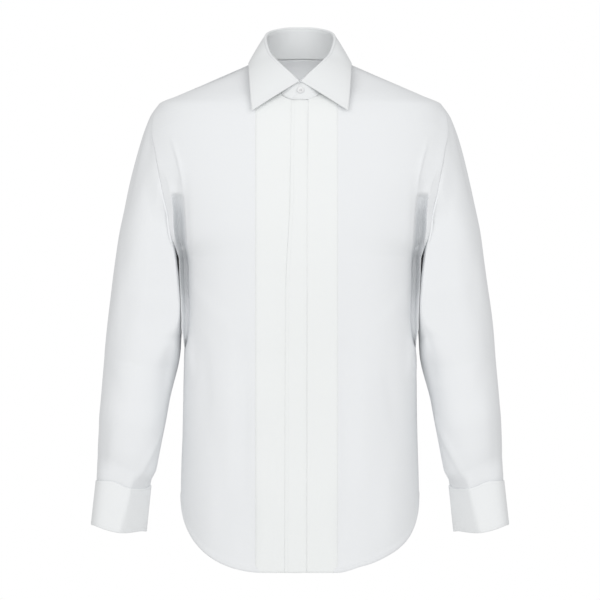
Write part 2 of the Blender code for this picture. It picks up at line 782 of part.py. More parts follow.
def build_cuff(side):
    path = cuff_path()
    normals = path_normals(path)
    sections = []
    last = len(path) - 1
    for index, (place, normal) in enumerate(zip(path, normals)):
        fin_share = 1.0 if index in (0, last) else 0.0
        section = []
        for inset, down, lower in cuff_profile(fin_share):
            across, forward = place - normal * inset
            point = cuff_place(across, forward, down)
            section.append(point - np.array((0, 0, lower)))
        sections.append(section)
    vertices = mirrored(np.array(sections).reshape(-1, 3), side)
    faces = loft_closed(sections)
    faces += cuff_cap(0, -1) + cuff_cap(last * len(sections[0]), 1)
    make_object(f"cuff_{side}", vertices, faces, "collar_cloth", flip=side == "left")


def sleeve_grid():
    """Outer face of the wearer's left sleeve, from the armhole down into the cuff."""
    steps = np.arange(2 * ARM_STEPS)
    angle = math.pi * steps / ARM_STEPS
    start = ARMHOLE_MIDDLE + ARMHOLE_HALF * np.cos(angle)
    ring = cuff_ring(angle, CUFF_CLOTH + SLEEVE_CUFF_CLEAR)
    rows = []
    for row in range(SLEEVE_STEPS):
        share = row / SLEEVE_STEPS
        level = start + (ring[:, 2] + SEAM - start) * share
        form = sleeve_form(angle, level)
        blend = smoothstep((share - SLEEVE_GATHER_START) / (1 - SLEEVE_GATHER_START))
        straight = ring.copy()
        straight[:, 2] = level
        rows.append(form * (1 - blend) + straight * blend)
    rows[0][:, 0] += SEAM
    rows.append(ring + np.array((0, 0, SEAM)))
    tucked = cuff_ring(angle, CUFF_CLOTH + CUFF_LAYER_GAP)
    rows.append(tucked - np.array((0, 0, SLEEVE_TUCK_IN)))
    return np.array(rows)


def sleeve_shape():
    points = sleeve_grid()
    return points, grid_normals(points, wrap=True)


def build_sleeve(side):
    points, normals = sleeve_shape()
    offsets = -CLOTH * normals
    keep_side(offsets[0], 0, 1)
    offsets[-1, :, 2] = 0
    make_wall(
        f"sleeve_{side}", mirrored(points, side), mirrored(points + offsets, side), "shirt_cloth",
        wrap=True, flip=side == "right",
    )


def build_sleeve_placket(side):
    """A strip on the back of the sleeve, pointed at its top, made from the sleeve's points."""
    points, normals = sleeve_shape()
    middle = 3 * ARM_STEPS // 2
    rows = slice(SLEEVE_STEPS - WRIST_PLACKET_ROWS, SLEEVE_STEPS + 1)
    columns = slice(middle - 1, middle + 2)
    points, normals = points[rows, columns].copy(), normals[rows, columns]
    points[0, 0] = (points[0, 0] + points[1, 0]) / 2
    points[0, 2] = (points[0, 2] + points[1, 2]) / 2
    pull_edge(points, row=-1, distance=WRIST_PLACKET_SHORT)
    inner = points + normals * WRIST_PLACKET_GAP
    outer = points + normals * (WRIST_PLACKET_GAP + BIB_CLOTH)
    make_wall(
        f"sleeve_placket_{side}", mirrored(outer, side), mirrored(inner, side), "shirt_cloth",
        flip=side == "right",
    )


def neck_ring(angle):
    """The neckline that the band stands on. Below 0 the angle runs past the middle of the front."""
    size = abs(angle)
    side = math.copysign(1, angle)
    if size <= 90:
        across = FRONT_NECK["across"][-1] * math.sin(math.radians(size))
        place = front_neck_point(across)
    else:
        place = back_neck(2 - size / 90)
    return body(*place) * np.array((side, 1, 1))


def band_top(angle):
    turn = math.radians(angle)
    depth = BAND_TOP_FRONT if abs(angle) < 90 else BAND_TOP_BACK
    level = float(smooth_table(BAND_TOP, "level", angle, key="angle"))
    return np.array((BAND_TOP_HALF_WIDTH * math.sin(turn), -depth * math.cos(turn), level))


def band_angles():
    return np.concatenate((np.linspace(-BAND_END, 6, 5), np.linspace(12, 180, 15)))


def band_half():
    """The band's outer face from its front end to the middle of the back, on the wearer's left."""
    columns = []
    for angle in band_angles():
        lift = BAND_LIFT * float(smoothstep((abs(angle) - BAND_END) / BAND_END))
        low = neck_ring(angle) + np.array((0, 0, SEAM + lift))
        high = band_top(angle)
        columns.append([low + (high - low) * row / BAND_ROWS for row in range(BAND_ROWS + 1)])
    return np.array(columns).transpose(1, 0, 2)


def band_outward(points):
    """Level unit vectors that point away from the neck's middle, along a ring of points."""
    along = np.gradient(points, axis=1)
    outward = np.stack((along[..., 1], -along[..., 0], np.zeros(along.shape[:2])), axis=-1)
    return outward / np.linalg.norm(outward, axis=-1, keepdims=True)


def band_shape(side):
    points = band_half()
    outward = band_outward(points)
    lap = 1 - smoothstep((band_angles() - BAND_LAP_START) / (BAND_LAP_FULL - BAND_LAP_START))
    lap = lap * BAND_LAP * side_sign(side)
    return mirrored(points + outward * lap[None, :, None], side), mirrored(outward, side)


def build_band():
    left, left_out = band_shape("left")
    right, right_out = band_shape("right")
    points = np.concatenate((left, right[:, -2::-1]), axis=1)
    outward = np.concatenate((left_out, right_out[:, -2::-1]), axis=1)
    make_wall("collar_band", points, points - outward * BAND_CLOTH, "collar_cloth")


def leaf_angles():
    return np.concatenate((np.linspace(LEAF_START, 90, 8), np.linspace(90, 180, 7)[1:]))


def leaf_edge(angle):
    return np.array([
        float(smooth_table(LEAF_EDGE, name, angle, key="angle"))
        for name in ("across", "along", "level")
    ])


def leaf_frame(angle):
    """Where the leaf starts on the band, and the directions out of and up from the band there."""
    before, after = band_top(angle - 1), band_top(angle + 1)
    along = after - before
    along /= np.linalg.norm(along)
    out = np.array((along[1], -along[0], 0.0))
    out /= np.linalg.norm(out)
    return band_top(angle), out, np.cross(out, along)


def leaf_column(angle):
    """Outer and inner face of the leaf at one angle: up, over the roll and down to its edge."""
    start, out, up = leaf_frame(angle)
    centre = LEAF_ROLL - BAND_CLOTH
    inner_roll = LEAF_ROLL - COLLAR_CLOTH
    outer, inner = [], []

    def put(across, rise, inner_across, inner_rise):
        outer.append(start + out * across + up * rise)
        inner.append(start + out * inner_across + up * inner_rise)

    put(-BAND_CLOTH, LEAF_LIFT, COLLAR_CLOTH - BAND_CLOTH, LEAF_LIFT)
    for turn in (180, 135, 90, 45, 0):
        c, s = math.cos(math.radians(turn)), math.sin(math.radians(turn))
        put(centre + LEAF_ROLL * c, LEAF_RISE + LEAF_ROLL * s,
            centre + inner_roll * c, LEAF_RISE + inner_roll * s)
    edge = leaf_edge(angle)
    top = outer[-1]
    for row in range(1, LEAF_ROWS + 1):
        share = row / LEAF_ROWS
        swell = LEAF_SWELL * 4 * share * (1 - share)
        outer.append(clear_of_chest(top + (edge - top) * share + (out + up) * swell))
    return outer, inner


def clear_of_chest(point):
    """Keeps a point of the leaf in front of the chest and its bib."""
    across, along, level = point
    half_width, front, _, squareness = (float(smooth_table(BODY, name, level)) for name in BODY_SIZES)
    share = abs(across) / half_width
    if share >= 1 or along > 0:
        return point
    chest = -front * (1 - share ** squareness) ** (1 / squareness)
    return np.array((across, min(along, chest - LEAF_CLEAR), level))


def leaf_half():
    """Outer and inner grids of the leaf, from its front edge to the middle of the back."""
    columns = [leaf_column(angle) for angle in leaf_angles()]
    outer = np.array([column[0] for column in columns]).transpose(1, 0, 2)
    roll = np.array([column[1] for column in columns]).transpose(1, 0, 2)
    normals = grid_normals(outer)
    middle = outer[len(roll):]
    away = normals[len(roll):]
    if (away[:, :, 2].mean() + (away * middle)[..., :2].sum(-1).mean()) < 0:
        away = -away
    inner = np.concatenate((roll, middle - away * COLLAR_CLOTH))
    return outer, inner


def build_leaf():
    outer, inner = leaf_half()
    grids = []
    for grid in (outer, inner):
        right = mirrored(grid, "right")[:, -2::-1]
        grids.append(np.concatenate((grid, right), axis=1))
    make_wall("collar_leaf", grids[0], grids[1], "collar_cloth", flip=True)


def button_place():
    """Middle of the button's back, the way it faces and its upward direction."""
    points, _ = band_shape("left")
    near = int(np.argmin(np.abs(points[1, :, 0] - BUTTON_ACROSS)))
    low, high = points[0, near], points[-1, near]
    beside = points[:, near + 1] - points[:, near - 1]
    up = (high - low) / np.linalg.norm(high - low)
    face = np.cross(beside[0] + beside[-1], up)
    face /= np.linalg.norm(face)
    middle = low + (high - low) * (BUTTON_LEVEL - low[2]) / (high[2] - low[2])
    return middle + face * BUTTON_CLEAR, face, up


def build_button():
    """A dished button: a flat back, a round rim and a shallow middle."""
    middle, face, up = button_place()
    across = np.cross(up, face)
    profile = (
        (BUTTON_RADIUS - BUTTON_RIM, 0.0),
        (BUTTON_RADIUS, BUTTON_RIM),
        (BUTTON_RADIUS, BUTTON_THICK - BUTTON_RIM),
        (BUTTON_RADIUS - BUTTON_RIM, BUTTON_THICK),
        (BUTTON_RADIUS - 3 * BUTTON_RIM, BUTTON_THICK - BUTTON_RIM / 2),
        (BUTTON_RADIUS - 4 * BUTTON_RIM, BUTTON_THICK - BUTTON_DISH),
    )
    vertices = [middle]
    for radius, rise in profile:
        for index in range(BUTTON_SIDES):
            turn = 2 * math.pi * index / BUTTON_SIDES
            spoke = across * math.cos(turn) + up * math.sin(turn)
            vertices.append(middle + spoke * radius + face * rise)
    vertices.append(middle + face * (BUTTON_THICK - BUTTON_DISH))
    faces = []
    last = len(profile) - 1
    for index in range(BUTTON_SIDES):
        after = (index + 1) % BUTTON_SIDES
        faces.append((0, 1 + after, 1 + index))
        top = 1 + last * BUTTON_SIDES
        faces.append((len(vertices) - 1, top + index, top + after))
        for ring in range(last):
            a, b = 1 + ring * BUTTON_SIDES + index, 1 + ring * BUTTON_SIDES + after
            faces += [(a, b, b + BUTTON_SIDES), (a, b + BUTTON_SIDES, a + BUTTON_SIDES)]
    make_object("collar_button", vertices, faces, "button_shell")


def clear_scene():
    for existing in list(bpy.data.objects):
        bpy.data.objects.remove(existing, do_unlink=True)


def main():
    clear_scene()
    for side in ("left", "right"):
        build_front(side)
        build_bib(side)
        build_sleeve(side)
        build_sleeve_placket(side)
        build_cuff(side)
    build_placket()
    build_yoke_and_back()
    build_band()
    build_leaf()
    build_button()


main()
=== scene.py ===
"""Cloth, stitching, button and studio of a long sleeve dress shirt with a bib front.

Metres, +Z up. The front faces -Y and the wearer's left is +X. Each panel is a thin closed shell of
cloth, on the same form as the solid that it stands for, with its creases, seams and stitches.
"""

import math

import bpy
import numpy as np
from bpy.props import FloatProperty, FloatVectorProperty, PointerProperty
from bpy.types import Operator, Panel, PropertyGroup
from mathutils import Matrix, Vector


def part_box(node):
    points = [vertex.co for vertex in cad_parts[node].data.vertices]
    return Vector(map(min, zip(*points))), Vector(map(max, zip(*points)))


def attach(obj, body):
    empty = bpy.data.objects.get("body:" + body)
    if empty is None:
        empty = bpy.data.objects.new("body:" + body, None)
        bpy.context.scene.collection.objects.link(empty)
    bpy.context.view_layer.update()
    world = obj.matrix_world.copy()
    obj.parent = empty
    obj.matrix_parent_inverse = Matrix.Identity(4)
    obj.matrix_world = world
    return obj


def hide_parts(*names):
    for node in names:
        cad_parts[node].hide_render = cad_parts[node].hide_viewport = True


bl_info = {
    "name": "Long Sleeve Dress Shirt",
    "version": (1, 0, 0),
    "blender": (4, 5, 0),
    "location": "3D View > Sidebar > Shirt",
    "description": "Makes the cloth panels, collar, cuffs, stitching and studio of a dress shirt",
    "category": "Object",
}

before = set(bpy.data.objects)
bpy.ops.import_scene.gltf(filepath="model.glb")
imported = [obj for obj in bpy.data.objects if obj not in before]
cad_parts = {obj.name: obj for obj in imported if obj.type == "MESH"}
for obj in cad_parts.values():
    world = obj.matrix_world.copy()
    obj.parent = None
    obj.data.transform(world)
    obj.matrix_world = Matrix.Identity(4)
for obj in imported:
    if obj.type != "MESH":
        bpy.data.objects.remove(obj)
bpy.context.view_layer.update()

# Form of the body's sections: |x / half_width| ** squareness + |y / depth| ** squareness = 1.
BODY = {
    "level": (-0.760, -0.650, -0.550, -0.450, -0.400, -0.351, -0.310, -0.288, -0.276, -0.250,
              -0.216, -0.187, -0.150, -0.100, -0.075, -0.057, -0.045, -0.032, -0.020, -0.008,
              0.000, 0.008, 0.011),
    "half_width": (0.1760, 0.1785, 0.1760, 0.1740, 0.1715, 0.1700, 0.1725, 0.1770, 0.1840, 0.2030,
                   0.2160, 0.2260, 0.2345, 0.2335, 0.2235, 0.2115, 0.1839, 0.1540, 0.1264, 0.0988,
                   0.0804, 0.0620, 0.0551),
    "front": (0.124, 0.122, 0.119, 0.118, 0.120, 0.122, 0.124, 0.125, 0.125, 0.125,
              0.124, 0.122, 0.118, 0.109, 0.101, 0.0915, 0.082, 0.067, 0.053, 0.037,
              0.022, 0.008, 0.004),
    "back": (0.115, 0.111, 0.103, 0.096, 0.097, 0.100, 0.104, 0.106, 0.108, 0.110,
             0.112, 0.113, 0.112, 0.107, 0.102, 0.098, 0.094, 0.089, 0.0825, 0.0755,
             0.0705, 0.0640, 0.0620),
    "squareness": (3.0, 3.0, 3.1, 3.3, 3.3, 3.25, 3.1, 2.95, 2.87, 2.75, 2.6, 2.5, *[2.4] * 11),
}
BODY_SIZES = ("half_width", "front", "back", "squareness")

# Hem: level at the middle of each tail, its rise to the side seams, and where the rise starts. On the
# wearer's left it is a little higher for part of the way round.
HEM_LEVEL = -0.7565
HEM_RISE = 0.111
HEM_FLAT = math.radians(10)
HEM_POWER = 1.70
HEM_SKEW = 0.0050
HEM_SKEW_FROM = (0.0, 0.15)
HEM_SKEW_TO = (0.30, 0.40)
HEM_FOLD = 0.007
HEM_FOLD_BLEND = 0.0012
HEM_FOLD_THICK = 0.0006

# Sleeves: sections at each level, out from the body to the outer edge.
SLEEVE = {
    "level": (-0.621, -0.606, -0.576, -0.501, -0.426, -0.381, -0.321, -0.288, -0.250, -0.216,
              -0.187, -0.157, -0.126, -0.104, -0.089, -0.075, -0.057),
    "outer": (0.3030, 0.3020, 0.3010, 0.2980, 0.2930, 0.2890, 0.2810, 0.2760, 0.2700, 0.2630,
              0.2570, 0.2500, 0.2420, 0.2355, 0.2300, 0.2240, 0.2115),
    "half_width": (0.0412, 0.0425, 0.0445, 0.0505, 0.0570, 0.0570, 0.0525, 0.0495, 0.0470, 0.0480,
                   0.0470, 0.0450, 0.0430, 0.0350, 0.0320, 0.0320, 0.0300),
    "half_depth": (0.0395, 0.0420, 0.0480, 0.0570, 0.0640, 0.0660, 0.0685, 0.0690, 0.0690, 0.0685,
                   0.0670, 0.0650, 0.0610, 0.0570, 0.0545, 0.0520, 0.0480),
    "middle": (-0.0230, -0.0215, -0.0180, -0.0120, -0.0060, -0.0030, -0.0010, *[0.0] * 10),
}
SLEEVE_SQUARENESS = 2.15
SLEEVE_GIRTH_RADIUS = 0.056
SLEEVE_GATHER_START = 0.93
SLEEVE_TUCK_IN = 0.0057
SLEEVE_CUFF_CLEAR = 0.0005
SLEEVE_COLUMNS = 144
SLEEVE_ROWS = 142
SLEEVE_SEAM_ROWS = 9
SLEEVE_SEAM_SHARE = 0.02
SLEEVE_SINK = 0.0002
SLEEVE_SINK_WIDTH = 0.0014
SLEEVE_INSIDE = np.array((0.26, 0, 0))
# Sleeve placket: its grid, and its top, point and end in steps down the sleeve.
SLEEVE_STEPS = 17
SLEEVE_PLACKET_TOP = 12
SLEEVE_PLACKET_POINT = 0.5
SLEEVE_PLACKET_END = 0.998
SLEEVE_PLACKET_ANGLE = 1.5 * math.pi
SLEEVE_PLACKET_ROWS = 60
SLEEVE_PLACKET_COLUMNS = 15
# Shares of the sleeve's length over which its creases fade, and where its inner side has none.
SLEEVE_FADE_TOP = 0.035
SLEEVE_FADE_CUFF = 0.05
BESIDE_BODY_TURN = (0.5, 0.35)
BESIDE_BODY_LEVEL = (-0.46, 0.05)

# Armhole: the sleeve's section at angle a is sewn at ARMHOLE_MIDDLE + ARMHOLE_HALF * cos(a).
# Steps along it run from 0 at the shoulder tip to ARM_STEPS under the arm.
ARMHOLE_TOP = -0.057
ARMHOLE_BOTTOM = -0.288
ARMHOLE_MIDDLE = (ARMHOLE_TOP + ARMHOLE_BOTTOM) / 2
ARMHOLE_HALF = (ARMHOLE_TOP - ARMHOLE_BOTTOM) / 2
ARM_STEPS = 14
ARM_STEP_LENGTH = 0.029
# How far forward the seam comes: distance, angle and span of its rise, angle and span of its fall.
SEAM_LIFTS = ((0.007, 0.8, 0.8, 2.95, 0.5), (0.016, 1.9, 0.6, 3.0, 0.45))
SEAM_LIFT_SHARE = 0.14
# How far out the seam runs under the arm: distance, angle and span of its rise.
SEAM_CLEARS = ((0.0030, 1.4, 0.4), (0.0016, 2.3, 0.6))
SEAM_CLEAR_SHARE = 0.10
# Roll of cloth beside the seam: height, angle and span of its rise and of its fall, two slopes.
SEAM_ROLL = 0.0014
SEAM_ROLL_FROM = (0.30, 0.40)
SEAM_ROLL_TO = (1.6, 0.5)
SEAM_ROLL_STEEP = 0.0013
SEAM_ROLL_GENTLE = 0.0120
ROW_SAMPLES = 241
ROW_EASE = 1.5
ROW_BEND = 4
ROW_LOW_BLEND = 0.030

# Tuck that the cloth makes between the body and the sleeve, under the arm: how far it folds in,
# how far across it starts, and the width of the strip left between it and the armhole.
TUCK = {
    "level": (-0.300, -0.288, -0.276, -0.250, -0.222, -0.198, -0.178, -0.160),
    "depth": (0.0, 0.0, 0.014, 0.026, 0.024, 0.015, 0.005, 0.0),
    "start": (0.1665, 0.1665, 0.1668, 0.1675, 0.1695, 0.1727, 0.1740, 0.1740),
    "strip": (0.0005, 0.0005, 0.0030, 0.0060, 0.0085, 0.0112, 0.0125, 0.0125),
}
TUCK_SIDE_SHARE = 0.97
TUCK_SHAPE = 2.4
TUCK_STRIP_SHARE = 0.80
# On the front it goes on below the arm, where the side turns back beside the sleeve.
FRONT_TUCK = {
    "level": (-0.440, -0.4245, -0.411, -0.396, -0.381, -0.351, -0.321, -0.291, -0.275, -0.261,
              -0.246, -0.231, -0.210, -0.1965, -0.1925, -0.170),
    "depth": (0.0, 0.001, 0.003, 0.007, 0.012, 0.020, 0.026, 0.032, 0.035, 0.037, 0.036, 0.033,
              0.022, 0.011, 0.0, 0.0),
    "start": (0.1720, 0.1715, 0.1690, 0.1650, 0.1640, 0.1650, 0.1668, 0.1680, 0.1690, 0.1700,
              0.1710, 0.1718, 0.1735, 0.1745, 0.1750, 0.1750),
    "strip": (0.0002, 0.0002, 0.0002, 0.0002, 0.0002, 0.0002, 0.0002, 0.0003, 0.0018, 0.0040,
              0.0055, 0.0070, 0.0095, 0.0110, 0.0110, 0.0110),
    "floor": (0.000, -0.032, -0.048, -0.052, -0.052, -0.042, -0.028, -0.025, -0.038, -0.034,
              -0.024, -0.015, -0.014, -0.014, -0.014, -0.014),
}
TUCK_LOW = -0.440
TUCK_FLOOR_RISE = 0.020
TUCK_LOW_BLEND = 0.030
TUCK_HIGH = -0.150
TUCK_HIGH_BLEND = 0.030
# The sides swell out below the armholes, up to the sleeves.
SIDE_SWELL = {
    "level": (-0.440, -0.430, -0.420, -0.410, -0.400, -0.390, -0.380, -0.365, -0.350, -0.335,
              -0.320, -0.310, -0.300, -0.292, -0.288, -0.280),
    "swell": (0.0, 0.0001, 0.0004, 0.0017, 0.0041, 0.0062, 0.0065, 0.0076, 0.0086, 0.0091,
              0.0088, 0.0083, 0.0071, 0.0052, 0.0045, 0.0045),
}
SIDE_SWELL_WIDTH = 0.035
# The sleeve's inner side is squarer beside the body.
INNER_SQUARENESS = 4.2
INNER_SQUARER = 17.0
INNER_SQUARER_SHARE = (0.06, 0.20)
INNER_SQUARER_LEVEL = (-0.41, 0.06)
INNER_CLEAR = {
    "level": (-0.420, -0.400, -0.385, -0.360, -0.320, -0.300, -0.260),
    "clear": (0.0, 0.0008, 0.0021, 0.0041, 0.0046, 0.0046, 0.0046),
}
INNER_SQUARE_LEVELS = (-0.47, -0.40)
INNER_SQUARE_SHARE = 0.10

# Front: neckline, bibs, centre overlap.
NECK_STEP = 4
FRONT_NECK_LEVEL = -0.052
FRONT_NECK = {
    "across": (0.0, 0.012, 0.024, 0.038, 0.050, 0.058, 0.062),
    "level": (-0.052, -0.052, -0.0480, -0.037, -0.022, -0.007, 0.008),
}
FRONT_RISE = {
    "step": (4, 5, 6, 7, 8),
    "rise": (0.0485, 0.024, 0.008, 0.0, 0.0),
}
BACK_NECK_RISE = 0.003
NECK_SIDE_LEVEL = 0.008
YOKE_STEPS = 4
YOKE_SEAM_LEVEL = -0.090
YOKE_FADE = 0.03
YOKE_FINE = 8
YOKE_ROWS = 44
YOKE_STITCH_FROM = 5
YOKE_SEAM_COLUMNS = (0.0, 1 / 6, 2 / 6, 3 / 6, 4 / 6, 5 / 6)
YOKE_TUCK_COLUMNS = (0.0, 0.22, 0.36, 0.5, 0.66, 0.84, 1.0)
PLACKET_EDGES = {
    "level": (-0.760, -0.350, -0.200, -0.050),
    "free": (-0.0230, -0.0215, -0.0150, -0.0130),
    "sewn": (0.0100, 0.0105, 0.0108, 0.0120),
}
UNDERLAP = 0.0015
UNDERLAP_DIP = 0.0009
DIP_INSIDE = 0.004
DIP_OUTSIDE = 0.014
BIB_EDGE = {"left": 0.0563, "right": 0.0668}
BIB_LEAST = 0.014
BIB_TOP_STEP = 1.5
BIB_LIFT = 0.0001
BIB_EDGE_CLOTH = 0.00008
BIB_TAPER = 0.009
# Placket: its grid, how it is padded, and where its free edge lifts.
PLACKET_ROWS = 210
PLACKET_COLUMNS = 18
PLACKET_TOP_GAP = 0.001
PLACKET_LIFT = 0.0002
PLACKET_PLUMP = 0.0005
PLACKET_TAPER = 0.007
PLACKET_LIFTED_FROM = (-0.345, 0.025)
PLACKET_LIFTED_TO = (-0.135, 0.015)

# Collar: the band runs from the neckline up to the fold, and the leaf from the fold down.
BAND_TOP = {
    "angle": (-13.0, -9.0, -4.0, 0.0, 5.0, 20.0, 45.0, 60.0, 75.0, 90.0, 110.0, 135.0, 165.0,
              180.0),
    "level": (-0.0450, -0.0360, -0.0315, -0.0290, -0.0255, -0.0125, 0.0055, 0.0150, 0.0285,
              0.0395, 0.0470, 0.0525, 0.0560, 0.0561),
}
BAND_TOP_HALF_WIDTH = 0.0510
BAND_TOP_FRONT = 0.0760
BAND_TOP_BACK = 0.0560
BAND_END = 13.0
BAND_LAP = 0.0009
BAND_LIFT = 0.0009
BAND_LAP_START = 14.0
BAND_LAP_FULL = 34.0
BAND_CLOTH = 0.0015
BAND_ROWS = 15
BAND_TURN = 12.0
BAND_COLUMNS = (34, 92)
SEAM = 0.0003
SEAM_GAP = 0.00005
LEAF_START = 4.0
LEAF_ROLL = 0.00225
LEAF_LIFT = 0.0006
LEAF_RISE = 0.0013
LEAF_EDGE = {
    "angle": (4.0, 20.0, 40.0, 60.0, 80.0, 100.0, 125.0, 150.0, 168.0, 180.0),
    "across": (0.0712, 0.0735, 0.0755, 0.0768, 0.0775, 0.0740, 0.0600, 0.0360, 0.0150, 0.0),
    "along": (-0.1050, -0.0930, -0.0720, -0.0470, -0.0190, 0.0160, 0.0480, 0.0690, 0.0765, 0.0767),
    "level": (-0.0680, -0.0480, -0.0240, -0.0060, 0.0035, 0.0055, 0.0045, 0.0010, -0.0038, -0.0039),
}
LEAF_SWELL = 0.0012
LEAF_CLEAR = 0.0036
LEAF_CLOTH = 0.0012
LEAF_ROLL_ROWS = 13
LEAF_ROWS = 26
LEAF_TURN = 90.0
LEAF_COLUMNS = (62, 46)

# Turned-back cuffs.
CUFF_TOP = {
    "outer": -0.621, "inner": -0.629, "across": 0.2640, "middle": -0.022,
    "share": (0.0, 0.28, 0.63, 1.0), "drop": (0.0, -0.0013, 0.0063, 0.0045),
}
CUFF_FOLD = {
    "outer": -0.688, "inner": -0.698, "across": 0.2710, "middle": -0.026,
    "share": (0.0, 0.36, 0.52, 1.0), "drop": (-0.0020, 0.0046, 0.0056, -0.0018),
}
CUFF_HALF_WIDTH = 0.0418
CUFF_HALF_DEPTH = 0.0400
CUFF_RIDGE_ACROSS = {"top": -0.27, "fold": -0.04}
CUFF_RIDGE_DEPTH = 0.0500
CUFF_OUTER_SHAPE = 4.0
CUFF_INNER_SHAPE = 1.06
CUFF_CLOTH = 0.0010
CUFF_LAYER_GAP = 0.0016
CUFF_FIN_GAP = 0.0004
CUFF_FIN = 0.014
CUFF_FIN_PART = 0.0028
CUFF_FIN_BEND = (0.0006, 0.002)
CUFF_ENDS = (math.radians(-60), math.radians(240))
CUFF_INNER_SHORT = 0.006
CUFF_DROP_REACH = 0.016
CUFF_FIN_BLEND = 0.016
CUFF_FOLD_DROP = 0.0013
CUFF_LINING_DROP = 0.0022
CUFF_ROUND = 0.0004
CUFF_SAMPLES = 121
CUFF_COLUMNS = 170
CUFF_SMOOTHING = 3
CUFF_DOWN_ROWS = 22
CUFF_TURN_ROWS = 9
CUFF_STITCH_FROM = 3
# Rows of the cuff's grid that carry stitches, and the row on the layer's other face at each.
CUFF_STITCH_ROWS = (1, 20)
CUFF_LINING_ROWS = (49, 30)

# Collar button.
BUTTON_RADIUS = 0.0050
BUTTON_THICK = 0.0024
BUTTON_BASE_EDGE = 0.0006
BUTTON_RIM = 0.0007
BUTTON_DISH = 0.0009
BUTTON_CENTRE = 0.0002
# First angle, last angle and number of points of its rounded back edge and of its rim.
BUTTON_BASE_TURN = (0.3, math.pi / 2, 5)
BUTTON_RIM_TURN = (0, math.pi * 0.8, 8)
BUTTON_SLOPE_IN = (0.0020, 0.0027)
BUTTON_HOLE_SIDES = 16
BUTTON_CUTTER_LENGTH = 0.01
BUTTON_SIDES = 48
BUTTON_ACROSS = 0.0035
BUTTON_ROW = 5
BUTTON_HOLE_RADIUS = 0.0006
BUTTON_HOLE_APART = 0.0011
BUTTON_THREAD_POINTS = 9
BUTTON_THREAD_REACH = 1.5

# Stitches: how far in from the edge that they follow, and their shape along and round.
HEM_STITCH_IN = HEM_FOLD - 0.001
BIB_STITCH_IN = 0.0015
SEAM_STITCH_IN = 0.0016
EDGE_STITCH_IN = 0.0050
STITCH_RING = 5
STITCH_SHARES = (0.0, 0.18, 0.5, 0.82, 1.0)
STITCH_THICK = (0.25, 0.85, 1.0, 0.85, 0.25)
STITCH_RISE = (-0.8, 0.35, 0.7, 0.35, -0.8)
STITCH_AWAY = 0.01

# Places inside the shirt that its panels face away from.
FRONT_CENTRE = np.array((0, 0.02, -0.35))
BACK_CENTRE = np.array((0, -0.02, -0.35))
YOKE_CENTRE = np.array((0, 0.0, -0.2))
LEAF_CENTRE = np.array((0, 0, -0.02))

SIDES = ("left", "right")
# A sheet's grid covers at least this share of its flat width times its flat length.
LEAST_FLAT_SHARE = 0.3
EDGE_ROUNDNESS = 0.8
EDGE_COORDINATE = 0.0004
CAP_COORDINATE = 0.001
BUTTON_COORDINATE = 0.0003

# Stage.
FLOOR_LEVEL = -1.60
FLOOR_RADIUS = 1.7
FLOOR_SIDES = 96
ROOM_LIGHT = 0.565
# Lights: place, what it is aimed at, diameter and watts.
LIGHTS = {
    "left_softbox": ((1.5, -2.9, 1.0), (0, 0, -0.33), 2.8, 32.0),
    "right_softbox": ((-1.5, -2.9, 1.0), (0, 0, -0.33), 2.8, 32.0),
    "neck_fill": ((0, 0.035, -0.060), (0, 0.085, -0.012), 0.03, 0.018),
}
CAMERA_DISTANCE = 14.0
VIEW_WIDTH = 0.9
VIEW_MIDDLE = -0.351
SENSOR_WIDTH = 36.0

# Finishes: how far each colour is darkened and lightened across its texture.
TONES = {
    "cloth": (0.972, 1.022),
    "thread": (0.95, 1.02),
    "button": (0.93, 1.03),
    "floor": (0.995, 1.005),
}
YARN_STRETCH = 24.0
CLOUD_SCALE = 7.0
CLOUD_SHARE = 0.55
ROUGHNESS_SPREAD = 0.10
WEAVE_SHARE = 0.30
WEAVE_STRENGTH = 0.35
TWIST_LENGTH = 0.0007
TWIST_DEPTH = 0.00004
TWIST_STRENGTH = 0.4
GROWTH_BANDS = (500.0, 500.0, 1800.0)
GRAIN_SCALE = 60.0
# Woven finishes: roughness, sheen and depth of the weave.
WOVEN = {
    "shirt": (0.82, 0.12, 0.00005),
    "bib": (0.80, 0.12, 0.00005),
    "collar": (0.76, 0.10, 0.00004),
    "cuff": (0.76, 0.10, 0.00004),
}

# Slow rise and fall of relaxed cloth: share, turns across and up in radians a metre, and start.
WAVES = ((0.50, 19.0, 8.0, 0.6), (0.30, -31.0, 21.0, 2.1), (0.20, 12.0, -47.0, 4.0))
FRONT_WAVES = 0.0011
BACK_WAVES = 0.0013
BACK_WAVES_DOWN = 0.1
SLEEVE_WAVES = 0.0012
SLEEVE_WAVES_RADIUS = 0.17
SLEEVE_SHIFT = {"left": 0.0, "right": 0.012}
SLEEVE_WAVES_SHIFT = 4
# The front is stiller near its middle.
STILL_MIDDLE = (0.02, 0.06)
STILL_SHARE = 0.3
# A panel's creases fade towards its outer edge.
EDGE_FADE = 0.022

# A crease's line: its points, the share that is left off its swell at each end, how full the swell
# is, and how far its gentle and steep sides reach.
CREASE_POINTS = 13
CREASE_END = 0.06
CREASE_SPAN = 0.88
CREASE_FULLNESS = 0.8
CREASE_GENTLE = 1.5
CREASE_STEEP = 0.8
